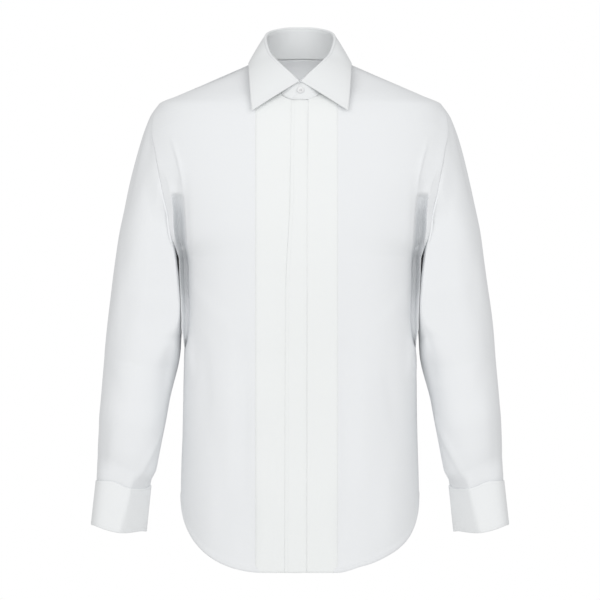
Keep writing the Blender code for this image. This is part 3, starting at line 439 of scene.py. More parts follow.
# Creases: across and up at the start, across and up at the end, bow, width, height. Each swells and
# fades along its length, and a negative height is a trough. Those of the fronts, in metres across
# from the middle:
FRONT_CREASES = (
    # From the armhole down the chest, and round into the tuck.
    (-0.1745, -0.1945, -0.1915, -0.113, -0.0035, 0.0026, 0.0017),
    (0.1900, -0.118, 0.1745, -0.1960, -0.0030, 0.0026, 0.0016),
    (-0.1860, -0.165, -0.1850, -0.200, 0.0, 0.0070, -0.0022),
    (0.1850, -0.202, 0.1860, -0.168, 0.0, 0.0070, -0.0020),
    (-0.1745, -0.170, -0.1660, -0.370, 0.0, 0.0085, -0.0036),
    (0.1655, -0.372, 0.1745, -0.172, 0.0, 0.0085, -0.0036),
    (-0.1645, -0.398, -0.1635, -0.466, 0.0, 0.0055, 0.0030),
    (0.1640, -0.468, 0.1650, -0.396, 0.0, 0.0055, 0.0030),
    # Beside the bib, below the chest.
    (-0.0800, -0.430, -0.0850, -0.640, 0.0, 0.0100, -0.0024),
    (0.0710, -0.640, 0.0650, -0.420, 0.0, 0.0100, -0.0024),
    (-0.1040, -0.400, -0.1100, -0.630, 0.0, 0.0140, 0.0020),
    (0.1000, -0.630, 0.0880, -0.380, 0.0, 0.0140, 0.0020),
    # At the sides of the waist.
    (-0.1480, -0.410, -0.1420, -0.540, 0.004, 0.0120, -0.0020),
    (0.1500, -0.560, 0.1300, -0.430, 0.004, 0.0120, -0.0020),
    (-0.1750, -0.300, -0.1150, -0.380, -0.008, 0.0120, 0.0012),
    (0.1150, -0.390, 0.1720, -0.300, -0.010, 0.0120, 0.0012),
    # Along the tails.
    (-0.0700, -0.630, -0.0720, -0.750, 0.0, 0.0130, -0.0028),
    (0.0620, -0.750, 0.0610, -0.640, 0.0, 0.0130, -0.0028),
    (-0.1350, -0.590, -0.1380, -0.720, 0.004, 0.0160, 0.0018),
    (0.1380, -0.720, 0.1340, -0.600, 0.004, 0.0160, 0.0018),
    # The placket's lifted edge.
    (-0.0105, -0.140, -0.0110, -0.225, 0.0, 0.0036, 0.0012),
)
# Puckers beside the placket's seams.
PUCKERS = (
    (-0.0330, -0.570, -0.0315, -0.638, 0.001, 0.0025, -0.0007),
    (0.0195, -0.568, 0.0150, -0.632, -0.001, 0.0025, -0.0007),
    (0.0240, -0.600, 0.0255, -0.656, 0.001, 0.0030, -0.0006),
)
# Those of the back, across from its middle:
BACK_CREASES = (
    (-0.060, -0.110, -0.066, -0.330, 0.006, 0.0130, 0.0022),
    (0.058, -0.110, 0.067, -0.320, -0.006, 0.0130, 0.0022),
    (-0.040, -0.105, -0.036, -0.260, -0.003, 0.0100, -0.0014),
    (0.038, -0.105, 0.034, -0.270, 0.003, 0.0100, -0.0014),
    (-0.188, -0.118, -0.165, -0.215, 0.010, 0.0080, -0.0016),
    (0.190, -0.120, 0.166, -0.220, -0.010, 0.0080, -0.0016),
    (-0.140, -0.360, 0.020, -0.420, 0.022, 0.0120, 0.0022),
    (0.150, -0.390, -0.010, -0.470, -0.022, 0.0130, 0.0020),
    (-0.160, -0.440, -0.030, -0.500, 0.016, 0.0120, -0.0018),
    (0.120, -0.340, 0.010, -0.370, -0.010, 0.0110, -0.0014),
    (-0.110, -0.520, -0.120, -0.720, 0.006, 0.0160, 0.0022),
    (0.100, -0.530, 0.116, -0.720, -0.006, 0.0160, 0.0022),
    (-0.020, -0.540, -0.024, -0.740, 0.004, 0.0170, -0.0016),
    (0.050, -0.560, 0.052, -0.740, -0.004, 0.0150, 0.0016),
)
# Those of the sleeves, in degrees round from the outer edge towards the front:
SLEEVE_CREASES = (
    (22, -0.090, 24, -0.208, 0.0, 0.0090, -0.0018),
    (125, -0.405, 140, -0.480, 0.004, 0.0120, -0.0030),
    (155, -0.530, 106, -0.622, -0.004, 0.0060, 0.0022),
    (50, -0.520, 46, -0.615, 0.0, 0.0160, -0.0024),
    (95, -0.305, 97, -0.390, 0.002, 0.0080, -0.0008),
    (70, -0.130, 140, -0.215, 0.010, 0.0110, -0.0008),
    (60, -0.330, 150, -0.365, 0.006, 0.0130, 0.0008),
    (12, -0.230, 50, -0.420, 0.010, 0.0120, 0.0010),
    (20, -0.430, 80, -0.520, 0.010, 0.0140, -0.0010),
    (230, -0.350, 320, -0.390, 0.008, 0.0090, -0.0022),
    (210, -0.400, 330, -0.420, -0.008, 0.0100, 0.0026),
    (220, -0.440, 310, -0.470, 0.008, 0.0090, -0.0022),
    (250, -0.160, 300, -0.300, 0.008, 0.0110, 0.0018),
    (230, -0.500, 280, -0.600, 0.006, 0.0090, 0.0018),
    (300, -0.520, 340, -0.606, 0.006, 0.0090, -0.0016),
)
SLEEVE_CREASES_LAID = tuple(
    (math.radians(a) * SLEEVE_GIRTH_RADIUS, b, math.radians(c) * SLEEVE_GIRTH_RADIUS, d, *rest)
    for a, b, c, d, *rest in SLEEVE_CREASES
)
# The sleeve swells forward and back above its cuff.
BLOUSE = {
    "above_cuff": (0.0, 0.010, 0.020, 0.030, 0.055, 0.090, 0.130, 0.180),
    "rise": (0.0, 0.0038, 0.0080, 0.0106, 0.0128, 0.0130, 0.0070, 0.0),
}

# Columns of the fronts and the back, from the middle outwards.
FINE_COLUMNS = {"bib": 20, "chest": 40, "tuck": 40}


class ShirtSizes(PropertyGroup):
    """Sizes that a user would change."""

    cloth: FloatProperty(
        name="Cloth thickness", description="Thickness of one layer of shirt cloth",
        default=0.0007, min=0.0003, max=0.0012, unit="LENGTH")
    bib_cloth: FloatProperty(
        name="Bib thickness", description="Thickness of the bib's second layer",
        default=0.0006, min=0.0004, max=0.0012, unit="LENGTH")
    row_gap: FloatProperty(
        name="Row spacing", description="Distance between the rows of a panel's grid",
        default=0.0038, min=0.002, max=0.02, unit="LENGTH")
    crease_share: FloatProperty(
        name="Crease depth", description="Share of the listed depth that creases have",
        default=1.0, min=0.0, max=2.0, subtype="FACTOR")
    stitch: FloatProperty(
        name="Stitch length", description="Length of one stitch that shows",
        default=0.0021, min=0.001, max=0.004, unit="LENGTH")
    stitch_gap: FloatProperty(
        name="Stitch gap", description="Gap between stitches in a run",
        default=0.0006, min=0.0002, max=0.002, unit="LENGTH")
    thread: FloatProperty(
        name="Thread radius", description="Radius of the sewing thread",
        default=0.00019, min=0.0001, max=0.0004, unit="LENGTH")
    yarn: FloatProperty(
        name="Yarn spacing", description="Distance between the yarns of the weave",
        default=0.00042, min=0.0002, max=0.001, unit="LENGTH")


class ShirtColours(PropertyGroup):
    """Colours that a user would change."""

    shirt: FloatVectorProperty(
        name="Shirt cloth", description="Colour of the body and sleeves",
        default=(0.855, 0.870, 0.884), min=0, max=1, size=3, subtype="COLOR")
    bib: FloatVectorProperty(
        name="Bib cloth", description="Colour of the bib and placket",
        default=(0.885, 0.902, 0.898), min=0, max=1, size=3, subtype="COLOR")
    collar: FloatVectorProperty(
        name="Collar cloth", description="Colour of the collar",
        default=(0.843, 0.859, 0.865), min=0, max=1, size=3, subtype="COLOR")
    # Lighter than the shirt cloth though it is the same cloth: painted light that lifts the cuffs' lit
    # faces, which the lamps leave dimmer low down at the wrists, up to the chest's brightness.
    cuff: FloatVectorProperty(
        name="Cuff cloth", description="Colour of the cuffs",
        default=(0.881, 0.896, 0.903), min=0, max=1, size=3, subtype="COLOR")
    thread: FloatVectorProperty(
        name="Thread", description="Colour of the sewing thread",
        default=(0.87, 0.88, 0.885), min=0, max=1, size=3, subtype="COLOR")
    button: FloatVectorProperty(
        name="Button", description="Colour of the collar button",
        default=(0.88, 0.885, 0.89), min=0, max=1, size=3, subtype="COLOR")
    floor: FloatVectorProperty(
        name="Floor", description="Colour of the studio floor",
        default=(0.98, 0.98, 0.98), min=0, max=1, size=3, subtype="COLOR")


def smooth_table(table, column, at, key="level"):
    """Reads a column between its rows with a cubic that never overshoots them."""
    x = np.asarray(table[key], float)
    y = np.asarray(table[column], float)
    at = np.clip(np.asarray(at, float), x[0], x[-1])
    step = np.diff(x)
    slope = np.diff(y) / step
    middle = np.where(slope[:-1] * slope[1:] > 0, 2 * slope[:-1] * slope[1:], 0.0)
    total = slope[:-1] + slope[1:]
    middle = np.divide(middle, total, out=np.zeros_like(middle), where=np.abs(total) > 1e-12)
    tangent = np.concatenate(([slope[0]], middle, [slope[-1]]))
    i = np.clip(np.searchsorted(x, at, side="right") - 1, 0, len(step) - 1)
    t = (at - x[i]) / step[i]
    return (
        (1 + 2 * t) * (1 - t) ** 2 * y[i]
        + t * (1 - t) ** 2 * step[i] * tangent[i]
        + t * t * (3 - 2 * t) * y[i + 1]
        + t * t * (t - 1) * step[i] * tangent[i + 1]
    )


def smoothstep(value):
    """Rises smoothly from 0 at 0 to 1 at 1."""
    value = np.clip(value, 0.0, 1.0)
    return value * value * (3 - 2 * value)


def ramp(value, start, span):
    """0 up to the start, rising smoothly over the span to 1."""
    return smoothstep((value - start) / span)


def power(value, exponent):
    """A power of the value's size, with the value's sign."""
    return np.sign(value) * np.abs(value) ** exponent


def body(angle, level):
    """The body's form. The angle is 0 at the middle of the front and pi at the middle of the back."""
    angle, level = np.broadcast_arrays(np.asarray(angle, float), np.asarray(level, float))
    half_width, front, back, squareness = (smooth_table(BODY, name, level) for name in BODY_SIZES)
    across = half_width * power(np.sin(angle), 2 / squareness)
    towards_back = -power(np.cos(angle), 2 / squareness)
    along = np.where(towards_back < 0, front, back) * towards_back
    return np.stack((across, along, level), axis=-1)


def body_angle(across, level):
    """The angle on the front half at which the body is this far across."""
    share = np.asarray(across) / smooth_table(BODY, "half_width", level)
    return np.arcsin(np.clip(power(share, smooth_table(BODY, "squareness", level) / 2), -1, 1))


def sleeve_form(angle, level):
    """The sleeve's form. The angle is 0 at the outer edge, a right angle at the front."""
    angle, level = np.broadcast_arrays(np.asarray(angle, float), np.asarray(level, float))
    half_width = smooth_table(SLEEVE, "half_width", level)
    exponent = 2 / SLEEVE_SQUARENESS
    across = smooth_table(SLEEVE, "outer", level) - half_width * (1 - power(np.cos(angle), exponent))
    depth = smooth_table(SLEEVE, "half_depth", level) * power(np.sin(angle), exponent)
    return np.stack((across, smooth_table(SLEEVE, "middle", level) - depth, level), axis=-1)


def seam_lift(angle):
    """How far forward the armhole's seam comes on the chest, which opens the fold beside it."""
    return sum(
        lift * ramp(angle, start, rise) * smoothstep((end - angle) / fall)
        for lift, start, rise, end, fall in SEAM_LIFTS)


def seam_clear(angle):
    """How far out from the body the armhole's seam runs under the arm."""
    return sum(clear * ramp(np.abs(angle), start, rise) for clear, start, rise in SEAM_CLEARS)


def armhole(step):
    """The armhole's point at a step from the shoulder tip, forward if positive."""
    angle = math.pi * step / ARM_STEPS
    point = sleeve_form(angle, ARMHOLE_MIDDLE + ARMHOLE_HALF * math.cos(angle))
    return point + np.array((seam_clear(angle), -seam_lift(angle), 0))


def hem_level(angle, side):
    """The hem's level round the body, the same on both tails."""
    from_middle = np.minimum(np.abs(angle), math.pi - np.abs(angle))
    share = np.clip((from_middle - HEM_FLAT) / (math.pi / 2 - HEM_FLAT), 0, 1)
    level = HEM_LEVEL + HEM_RISE * share ** HEM_POWER
    if side == "left":
        level += HEM_SKEW * (ramp(share, *HEM_SKEW_FROM) * (1 - ramp(share, *HEM_SKEW_TO)))
    return level


def outer_angle(point, level, is_back):
    """The body's angle beside a point of the armhole."""
    depth = float(smooth_table(BODY, "back" if is_back else "front", level))
    squareness = float(smooth_table(BODY, "squareness", level))
    angle = math.acos(min(abs(point[1]) / depth, 1.0) ** (squareness / 2))
    return math.pi - angle if is_back else angle


def near_side(points):
    """1 at the outer end of a row, falling to 0 a little way in from it."""
    along = lengths_along(points)
    return 1 - smoothstep((along[-1] - along) / SIDE_SWELL_WIDTH)


def row_line(inner, outer, target):
    """Points along one row of a panel, closely spaced, from inner to outer, each (angle, level)."""
    share = np.linspace(0, 1, ROW_SAMPLES)
    angle = inner[0] + (outer[0] - inner[0]) * share
    level = inner[1] + (outer[1] - inner[1]) * share ** ROW_EASE
    points = body(angle, level)
    low = 1 - float(ramp(outer[1], ARMHOLE_BOTTOM, ROW_LOW_BLEND))
    pull = share ** ROW_BEND * (1 - low) + near_side(points) * low
    return points + pull[:, None] * (target - points[-1])


def lower_line(share_up, inner, outer, side):
    """A row between the hem and the underarm, from one angle to the other."""
    angle = np.linspace(inner, outer, ROW_SAMPLES)
    level = hem_level(angle, side) * (1 - share_up) + ARMHOLE_BOTTOM * share_up
    points = body(angle, level)
    points[:, 0] += smooth_table(SIDE_SWELL, "swell", points[-1, 2]) * near_side(points)
    return points


def lengths_along(points, axis=0):
    """Distance from the first point of each line, along the grid's axis."""
    steps = np.linalg.norm(np.diff(points, axis=axis), axis=-1)
    total = np.cumsum(steps, axis=axis)
    start = np.zeros_like(np.take(total, [0], axis=axis))
    return np.concatenate((start, total), axis=axis)


def unit(vectors):
    """Vectors of length 1 that point the same way."""
    return vectors / np.maximum(np.linalg.norm(vectors, axis=-1, keepdims=True), 1e-12)


def at_places(wanted, along, values):
    """Reads vectors that are known along a line at the wanted distances."""
    return np.stack([np.interp(wanted, along, values[:, k]) for k in range(3)], axis=-1)


def read_line(points, shares):
    """Reads a line of points at places given as shares of its length."""
    along = lengths_along(points)
    return at_places(np.asarray(shares) * along[-1], along, points)


def share_at(points, across):
    """The share of a line's length at which it reaches this far across."""
    along = lengths_along(points)
    return float(np.interp(across, points[:, 0], along / along[-1]))


def grid_normals(points, wrap=False):
    """Unit normals of a grid, on the side that the rows' order and the columns' order give."""
    if wrap:
        padded = np.concatenate((points[:, -1:], points, points[:, :1]), axis=1)
        along_columns = np.gradient(padded, axis=1)[:, 1:-1]
    else:
        along_columns = np.gradient(points, axis=1)
    along_rows = np.gradient(points, axis=0)
    return unit(np.cross(along_columns, along_rows))


def away_from(points, centre, wrap=False):
    """Unit normals of a grid that point away from a centre."""
    normals = grid_normals(points, wrap)
    return -normals if (normals * (points - centre)).sum() < 0 else normals


def crease_path(crease):
    """Points along a crease's bowed line, with the share of the way along at each."""
    start, end = np.array(crease[0:2]), np.array(crease[2:4])
    along = end - start
    aside = np.array((-along[1], along[0])) / np.linalg.norm(along)
    share = np.linspace(0, 1, CREASE_POINTS)
    bowed = start + along * share[:, None] + aside * (crease[4] * 4 * share * (1 - share))[:, None]
    return bowed, share


def crease_field(across, level, creases, strength):
    """How far creases raise the cloth at each place."""
    total = np.zeros_like(across)
    for crease in creases:
        path, shares = crease_path(crease)
        width, height = crease[5:7]
        nearest = np.full_like(across, np.inf)
        signed = np.zeros_like(across)
        place = np.zeros_like(across)
        for (a, b), (share_a, share_b) in zip(zip(path, path[1:]), zip(shares, shares[1:])):
            step = b - a
            squared = float(step @ step)
            t = np.clip(((across - a[0]) * step[0] + (level - a[1]) * step[1]) / squared, 0, 1)
            dx, dz = across - a[0] - t * step[0], level - a[1] - t * step[1]
            apart = dx * dx + dz * dz
            closer = apart < nearest
            nearest = np.where(closer, apart, nearest)
            signed = np.where(closer, np.sign(dx * step[1] - dz * step[0]), signed)
            place = np.where(closer, share_a + (share_b - share_a) * t, place)
        distance = np.sqrt(nearest) * signed
        reach = np.where(distance > 0, CREASE_GENTLE * width, CREASE_STEEP * width)
        along = np.clip(CREASE_END + CREASE_SPAN * place, 0, 1)
        swell = np.sin(math.pi * along) ** CREASE_FULLNESS
        total += height * swell * np.exp(-((distance / reach) ** 2))
    return total * strength


def soft_waves(across, level, size):
    """Slow uneven rise and fall of relaxed cloth."""
    return size * sum(
        share * np.sin(turns_across * across + turns_up * level + start)
        for share, turns_across, turns_up, start in WAVES)


def front_field(across, level):
    """Rise of the front's cloth, shared by the fronts, bibs and placket."""
    strength = bpy.context.scene.shirt_sizes.crease_share
    rise = crease_field(across, level, FRONT_CREASES + PUCKERS, strength)
    still = STILL_SHARE + (1 - STILL_SHARE) * ramp(np.abs(across), *STILL_MIDDLE)
    return rise + soft_waves(across, level, FRONT_WAVES * strength) * still


def back_field(across, level):
    """Rise of the back's cloth."""
    strength = bpy.context.scene.shirt_sizes.crease_share
    rise = crease_field(across, level, BACK_CREASES, strength)
    return rise + soft_waves(across, level - BACK_WAVES_DOWN, BACK_WAVES * strength)


def sleeve_field(angle, level, side):
    """Rise of a sleeve's cloth. The two sleeves crease alike, a little apart."""
    strength = bpy.context.scene.shirt_sizes.crease_share
    shift = SLEEVE_SHIFT[side]
    total = np.zeros_like(angle)
    for turn in (-2 * math.pi, 0, 2 * math.pi):
        total += crease_field(
            (angle + turn) * SLEEVE_GIRTH_RADIUS, level + shift, SLEEVE_CREASES_LAID, strength)
    across = SLEEVE_WAVES_RADIUS * np.sin(angle)
    up = level + SLEEVE_WAVES_RADIUS * np.cos(angle) + SLEEVE_WAVES_SHIFT * shift
    return total + soft_waves(across, up, SLEEVE_WAVES) * strength


def outward_rows(points):
    """Distance in from each row's outer end."""
    along = lengths_along(points, axis=1)
    return along[:, -1:] - along


def fold_tuck(points, start, is_back):
    """Folds the outer columns of a row in between the body and the sleeve."""
    level = points[-1, 2]
    table = TUCK if is_back else FRONT_TUCK
    depth = float(smooth_table(table, "depth", level))
    first = points[start, 0]
    last = points[-1, 0] - float(smooth_table(table, "strip", level))
    if last <= first or (is_back and depth <= 0) or level < TUCK_LOW:
        return points
    wide = points[start:]
    shares = np.linspace(0, 1, len(wide))
    inside = np.minimum(shares / TUCK_STRIP_SHARE, 1)
    strip = np.maximum(shares - TUCK_STRIP_SHARE, 0) / (1 - TUCK_STRIP_SHARE)
    across = first + (last - first) * inside + (wide[-1, 0] - last) * strip
    along = np.interp(across, wide[:, 0], wide[:, 1])
    valley = depth * (1 - np.abs(2 * inside - 1) ** TUCK_SHAPE)
    along = along - valley if is_back else tuck_floor(along + valley, inside, strip, level)
    folded = np.stack((across, along, wide[:, 2]), axis=-1)
    kept = float(smoothstep((TUCK_HIGH - level) / TUCK_HIGH_BLEND))
    if not is_back:
        kept *= float(ramp(level, TUCK_LOW, TUCK_LOW_BLEND))
    folded = wide + (folded - wide) * kept
    folded[-1] = wide[-1]
    return np.concatenate((points[:start], folded))


def tuck_floor(along, inside, strip, level):
    """Keeps the front's tuck in front of its floor, and turns its last columns back to the side."""
    floor = float(smooth_table(FRONT_TUCK, "floor", level))
    kept = np.minimum(along, floor - TUCK_FLOOR_RISE * ramp(inside, 0.5, 0.5))
    end = kept[inside >= 1][0]
    return np.where(strip > 0, end + (along[-1] - end) * strip, kept)


def tuck_start_share(line, is_back=True):
    """The share of a row's length at which the tuck's columns begin."""
    start = float(smooth_table(TUCK if is_back else FRONT_TUCK, "start", line[-1, 2]))
    return share_at(line, min(start, TUCK_SIDE_SHARE * line[-1, 0]))


def front_neck_point(across):
    """The neckline at the front this far across, as an angle and a level of the body."""
    level = float(smooth_table(FRONT_NECK, "level", abs(across), key="across"))
    return float(body_angle(across, level)), level


def front_inner(step, across_start):
    """Inner end of a front row at an armhole step: up the centre, then round the neckline."""
    level = float(armhole(step)[2])
    if step >= NECK_STEP:
        level += float(smooth_table(FRONT_RISE, "rise", step, key="step"))
        return float(body_angle(across_start(level), level)), level
    low = across_start(FRONT_NECK_LEVEL)
    share = 1 - step / NECK_STEP
    return front_neck_point(low + (FRONT_NECK["across"][-1] - low) * share)


def lower_shares():
    """Heights of the rows below the arm, as shares of the way from the hem to the underarm."""
    count = round((ARMHOLE_BOTTOM - HEM_LEVEL) / bpy.context.scene.shirt_sizes.row_gap)
    return np.arange(count) / count


def arm_steps(last):
    """Fine steps up the armhole, from under the arm to the last step."""
    per_step = round(ARM_STEP_LENGTH / bpy.context.scene.shirt_sizes.row_gap)
    return np.arange(ARM_STEPS * per_step, last * per_step - 1, -1) / per_step


def front_lines(side, steps):
    """Every row of a front, from the hem up to the shoulder seam."""
    across_start = FRONT_STARTS[side]
    lines = []
    for share_up in lower_shares():
        middle_level = HEM_LEVEL * (1 - share_up) + ARMHOLE_BOTTOM * share_up
        inner = float(body_angle(across_start(middle_level), middle_level))
        lines.append(lower_line(share_up, inner, math.pi / 2, side))
    for step in steps:
        target = armhole(step)
        level = float(target[2])
        outer = (outer_angle(target, level, False), level)
        lines.append(row_line(front_inner(step, across_start), outer, target))
    return lines


def side_sign(side):
    """1 on the wearer's left and -1 on the right."""
    return 1 if side == "left" else -1


def mirrored(points, side):
    """Points that are laid out on the wearer's left, moved to this side."""
    return points * np.array((side_sign(side), 1, 1))


def joined(left, right):
    """One grid from two halves that start at the middle, both laid out on the wearer's left."""
    return np.concatenate((mirrored(right, "right")[:, :0:-1], left), axis=1)


def round_back(left, right):
    """One grid from two halves that each end at the middle of the back."""
    return np.concatenate((left, right[:, -2::-1]), axis=1)


def placket_edge(column, level):
    """How far across the placket's free or sewn edge lies."""
    return smooth_table(PLACKET_EDGES, column, level)


def left_start(level):
    """The left front stops at the placket's sewn edge."""
    return float(placket_edge("sewn", level)) + SEAM


def right_start(level):
    """The right front runs on under the placket, just short of its sewn edge."""
    return UNDERLAP - float(placket_edge("sewn", level))


FRONT_STARTS = {"left": left_start, "right": right_start}


def front_cloth(side):
    """A front's outer face before its tuck, its normals, its steps, and its first tuck column."""
    steps = arm_steps(0)
    rows = []
    bib, chest, tuck = FINE_COLUMNS.values()
    for line in front_lines(side, steps):
        edge = max(BIB_EDGE[side], line[0, 0] + BIB_LEAST)
        bib_end = share_at(line, edge)
        tuck_from = tuck_start_share(line, False)
        shares = np.concatenate((
            np.linspace(0, bib_end, bib)[:-1],
            np.linspace(bib_end, tuck_from, chest)[:-1],
            np.linspace(tuck_from, 1, tuck),
        ))
        rows.append(read_line(line, shares))
    points = np.array(rows)
    normals = away_from(points, FRONT_CENTRE)
    rise = front_field(side_sign(side) * points[..., 0], points[..., 2])
    fade = smoothstep(outward_rows(points) / EDGE_FADE)
    points = points + normals * (rise * fade)[..., None]
    if side == "right":
        free = -placket_edge("free", points[..., 2])
        share = (points[..., 0] - free - DIP_INSIDE) / (DIP_OUTSIDE - DIP_INSIDE)
        points = points - normals * (UNDERLAP_DIP * (1 - smoothstep(share)))[..., None]
    return points, normals, steps, bib + chest - 2


def turn_hem(points, normals):
    """Thickens the hem's folded edge."""
    up = lengths_along(points, axis=0)
    share = 1 - ramp(up, HEM_FOLD, HEM_FOLD_BLEND)
    return points + normals * (HEM_FOLD_THICK * share)[..., None]


def seam_roll(points, normals, steps):
    """Raises the cloth beside the armhole seam, but not at the shoulder tip or under the arm."""
    rows = slice(len(lower_shares()), None)
    inward = outward_rows(points)[rows]
    angle = np.abs(math.pi * steps / ARM_STEPS)
    height = SEAM_ROLL * ramp(angle, *SEAM_ROLL_FROM) * (1 - ramp(angle, *SEAM_ROLL_TO))
    height = height[:, None] * (1 - np.exp(-((inward / SEAM_ROLL_STEEP) ** 2)))
    height = height * np.exp(-((inward / SEAM_ROLL_GENTLE) ** 2))
    points[rows] += normals[rows] * height[..., None]
    return points


def fold_tucks(points, start, is_back):
    """Folds every row's outer columns in."""
    return np.array([fold_tuck(row, start, is_back) for row in points])


def back_row(line):
    """Reads a back row at its fine columns, from the middle of the back to the wearer's left."""
    tuck_from = tuck_start_share(line)
    chest = FINE_COLUMNS["bib"] + FINE_COLUMNS["chest"] - 1
    outer = np.linspace(tuck_from, 1, FINE_COLUMNS["tuck"])
    return read_line(line, np.concatenate((np.linspace(0, tuck_from, chest)[:-1], outer)))


def back_lines(side):
    """Every row of one side of the back, from the hem up to the yoke's seam."""
    lines = [lower_line(share, math.pi, math.pi / 2, side) for share in lower_shares()]
    rise = YOKE_SEAM_LEVEL - float(armhole(-YOKE_STEPS)[2])
    for step in arm_steps(YOKE_STEPS):
        target = armhole(-step)
        level = float(target[2])
        inner = level + rise * smoothstep(YOKE_STEPS + 1 - step)
        lines.append(row_line((math.pi, inner), (outer_angle(target, level, True), level), target))
    return lines


def back_cloth():
    """The back's outer face with its creases, its turned hem and its tucks."""
    halves = (np.array([back_row(line) for line in back_lines(side)]) for side in SIDES)
    points = joined(*halves)
    normals = away_from(points, BACK_CENTRE)
    middle = points.shape[1] // 2
    along = lengths_along(points, axis=1)
    rise = back_field(along - along[:, middle:middle + 1], points[..., 2])
    edge = np.minimum(along, along[:, -1:] - along)
    below_yoke = smoothstep(lengths_along(points[::-1], axis=0)[::-1] / YOKE_FADE)
    fade = smoothstep(edge / EDGE_FADE) * below_yoke
    points = turn_hem(points + normals * (rise * fade)[..., None], normals)
    steps = arm_steps(YOKE_STEPS)
    points = seam_roll(points, normals, steps)
    points = seam_roll(points[:, ::-1], normals[:, ::-1], steps)[:, ::-1]
    halves = (points[:, middle:], mirrored(points[:, middle::-1], "right"))
    first_tuck = middle + 1 - FINE_COLUMNS["tuck"]
    return joined(*(fold_tucks(half, first_tuck, True) for half in halves))


def back_angle(point):
    """The body's angle nearest to a point of the back or the yoke."""
    half_width, _, back, squareness = (smooth_table(BODY, name, point[2]) for name in BODY_SIZES)
    across = float(power(point[0] / half_width, squareness / 2))
    along = float(power(point[1] / back, squareness / 2))
    return math.pi - math.atan2(across, along)


def back_neck(share):
    """The neckline at the back, from the middle at 0 round to the shoulder seam at 1."""
    return math.pi - math.pi / 2 * share, NECK_SIDE_LEVEL + BACK_NECK_RISE * (1 - share)


def yoke_cloth():
    """The yoke's outer face. Each column runs from the outer edge to the neckline."""
    line = back_lines("left")[-1]
    tuck_from = tuck_start_share(line)
    seam = back_row(line)[::2]
    places = np.concatenate((
        tuck_from * np.array(YOKE_SEAM_COLUMNS),
        tuck_from + (1 - tuck_from) * np.array(YOKE_TUCK_COLUMNS),
    ))
    along = lengths_along(seam)
    seam_index = np.interp(along / along[-1], places, np.arange(len(places)))
    steps = np.arange(YOKE_STEPS * YOKE_FINE - 1, -1, -1) / YOKE_FINE
    edge = [*seam, *(armhole(-step) for step in steps)]
    index = np.concatenate((seam_index, len(places) - 1 + YOKE_STEPS - steps))
    columns = []
    for place, target in zip(index, edge):
        inner = back_neck(place / (len(places) - 1 + YOKE_STEPS))
        whole = row_line(inner, (back_angle(target), float(target[2])), target)
        columns.append(read_line(whole, np.linspace(1, 0, YOKE_ROWS)))
    half = np.array(columns).transpose(1, 0, 2)
    return joined(half, half)


def cuff_section(angle, inset=0.0, end="top"):
    """How far across and forward the cuff's outer face lies from its section's middle."""
    ridge = CUFF_RIDGE_ACROSS[end]
    across = (CUFF_HALF_WIDTH - inset) * np.cos(angle)
    round_forward = (CUFF_HALF_DEPTH - inset) * np.sin(angle)
    from_ridge = across / (CUFF_HALF_WIDTH - inset) - ridge
    share = np.clip(np.where(from_ridge > 0, from_ridge / (1 - ridge), -from_ridge / (1 + ridge)), 0, 1)
    shape = np.where(from_ridge > 0, CUFF_OUTER_SHAPE, CUFF_INNER_SHAPE)
    flat_forward = (CUFF_RIDGE_DEPTH - inset) * (1 - share ** shape) ** (1 / shape)
    return across, np.where(np.sin(angle) > 0, flat_forward, round_forward)


def cuff_place(across, forward, down):
    """Places a point of the cuff's section. down is 0 at the cuff's top and 1 at its fold."""
    share = (1 - across / CUFF_HALF_WIDTH) / 2
    ends = []
    for ring in (CUFF_TOP, CUFF_FOLD):
        level = ring["outer"] + (ring["inner"] - ring["outer"]) * share
        drop = smooth_table(ring, "drop", share, key="share")
        level = level - drop * smoothstep(forward / CUFF_DROP_REACH)
        ends.append(np.stack((ring["across"] + across, ring["middle"] - forward, level), axis=-1))
    return ends[0] * (1 - down) + ends[1] * down


def cuff_ring(angle, inset):
    """A ring inside the top of the cuff, this far in from its outer face."""
    return cuff_place(*cuff_section(angle, inset), 0.0)


def squared_inside(angle, level, share, form):
    """Squares the sleeve's inner half, where it lies beside the body."""
    squarer = INNER_SQUARER * ramp(share, *INNER_SQUARER_SHARE) * ramp(level, *INNER_SQUARER_LEVEL)
    exponent = 2 / (INNER_SQUARENESS + squarer)
    half_width = smooth_table(SLEEVE, "half_width", level)
    inner_half = half_width - smooth_table(INNER_CLEAR, "clear", level)
    middle = smooth_table(SLEEVE, "outer", level) - half_width
    across = middle + inner_half * power(np.cos(angle), exponent)
    depth = smooth_table(SLEEVE, "half_depth", level) * power(np.sin(angle), exponent)
    square = np.stack((across, smooth_table(SLEEVE, "middle", level) - depth, level), axis=-1)
    low, high = INNER_SQUARE_LEVELS
    share_squared = ramp(level, low, high - low) * smoothstep(share / INNER_SQUARE_SHARE)
    weight = (share_squared * (np.cos(angle) < 0))[..., None]
    return form * (1 - weight) + square * weight


def sleeve_place(angle, share):
    """The sleeve's outer face. share is 0 at the armhole and 1 at the cuff's top."""
    start = ARMHOLE_MIDDLE + ARMHOLE_HALF * np.cos(angle)
    ring = cuff_ring(angle, CUFF_CLOTH + SLEEVE_CUFF_CLEAR)
    level = start + (ring[..., 2] + SEAM - start) * share
    form = squared_inside(angle, level, share, sleeve_form(angle, level))
    form[..., 1] -= seam_lift(angle) * (1 - smoothstep(share / SEAM_LIFT_SHARE))
    turned = (angle + math.pi) % (2 * math.pi) - math.pi
    form[..., 0] += seam_clear(turned) * (1 - smoothstep(share / SEAM_CLEAR_SHARE))
    blend = ramp(share, SLEEVE_GATHER_START, 1 - SLEEVE_GATHER_START)[..., None]
    straight = ring.copy()
    straight[..., 2] = level
    return form * (1 - blend) + straight * blend


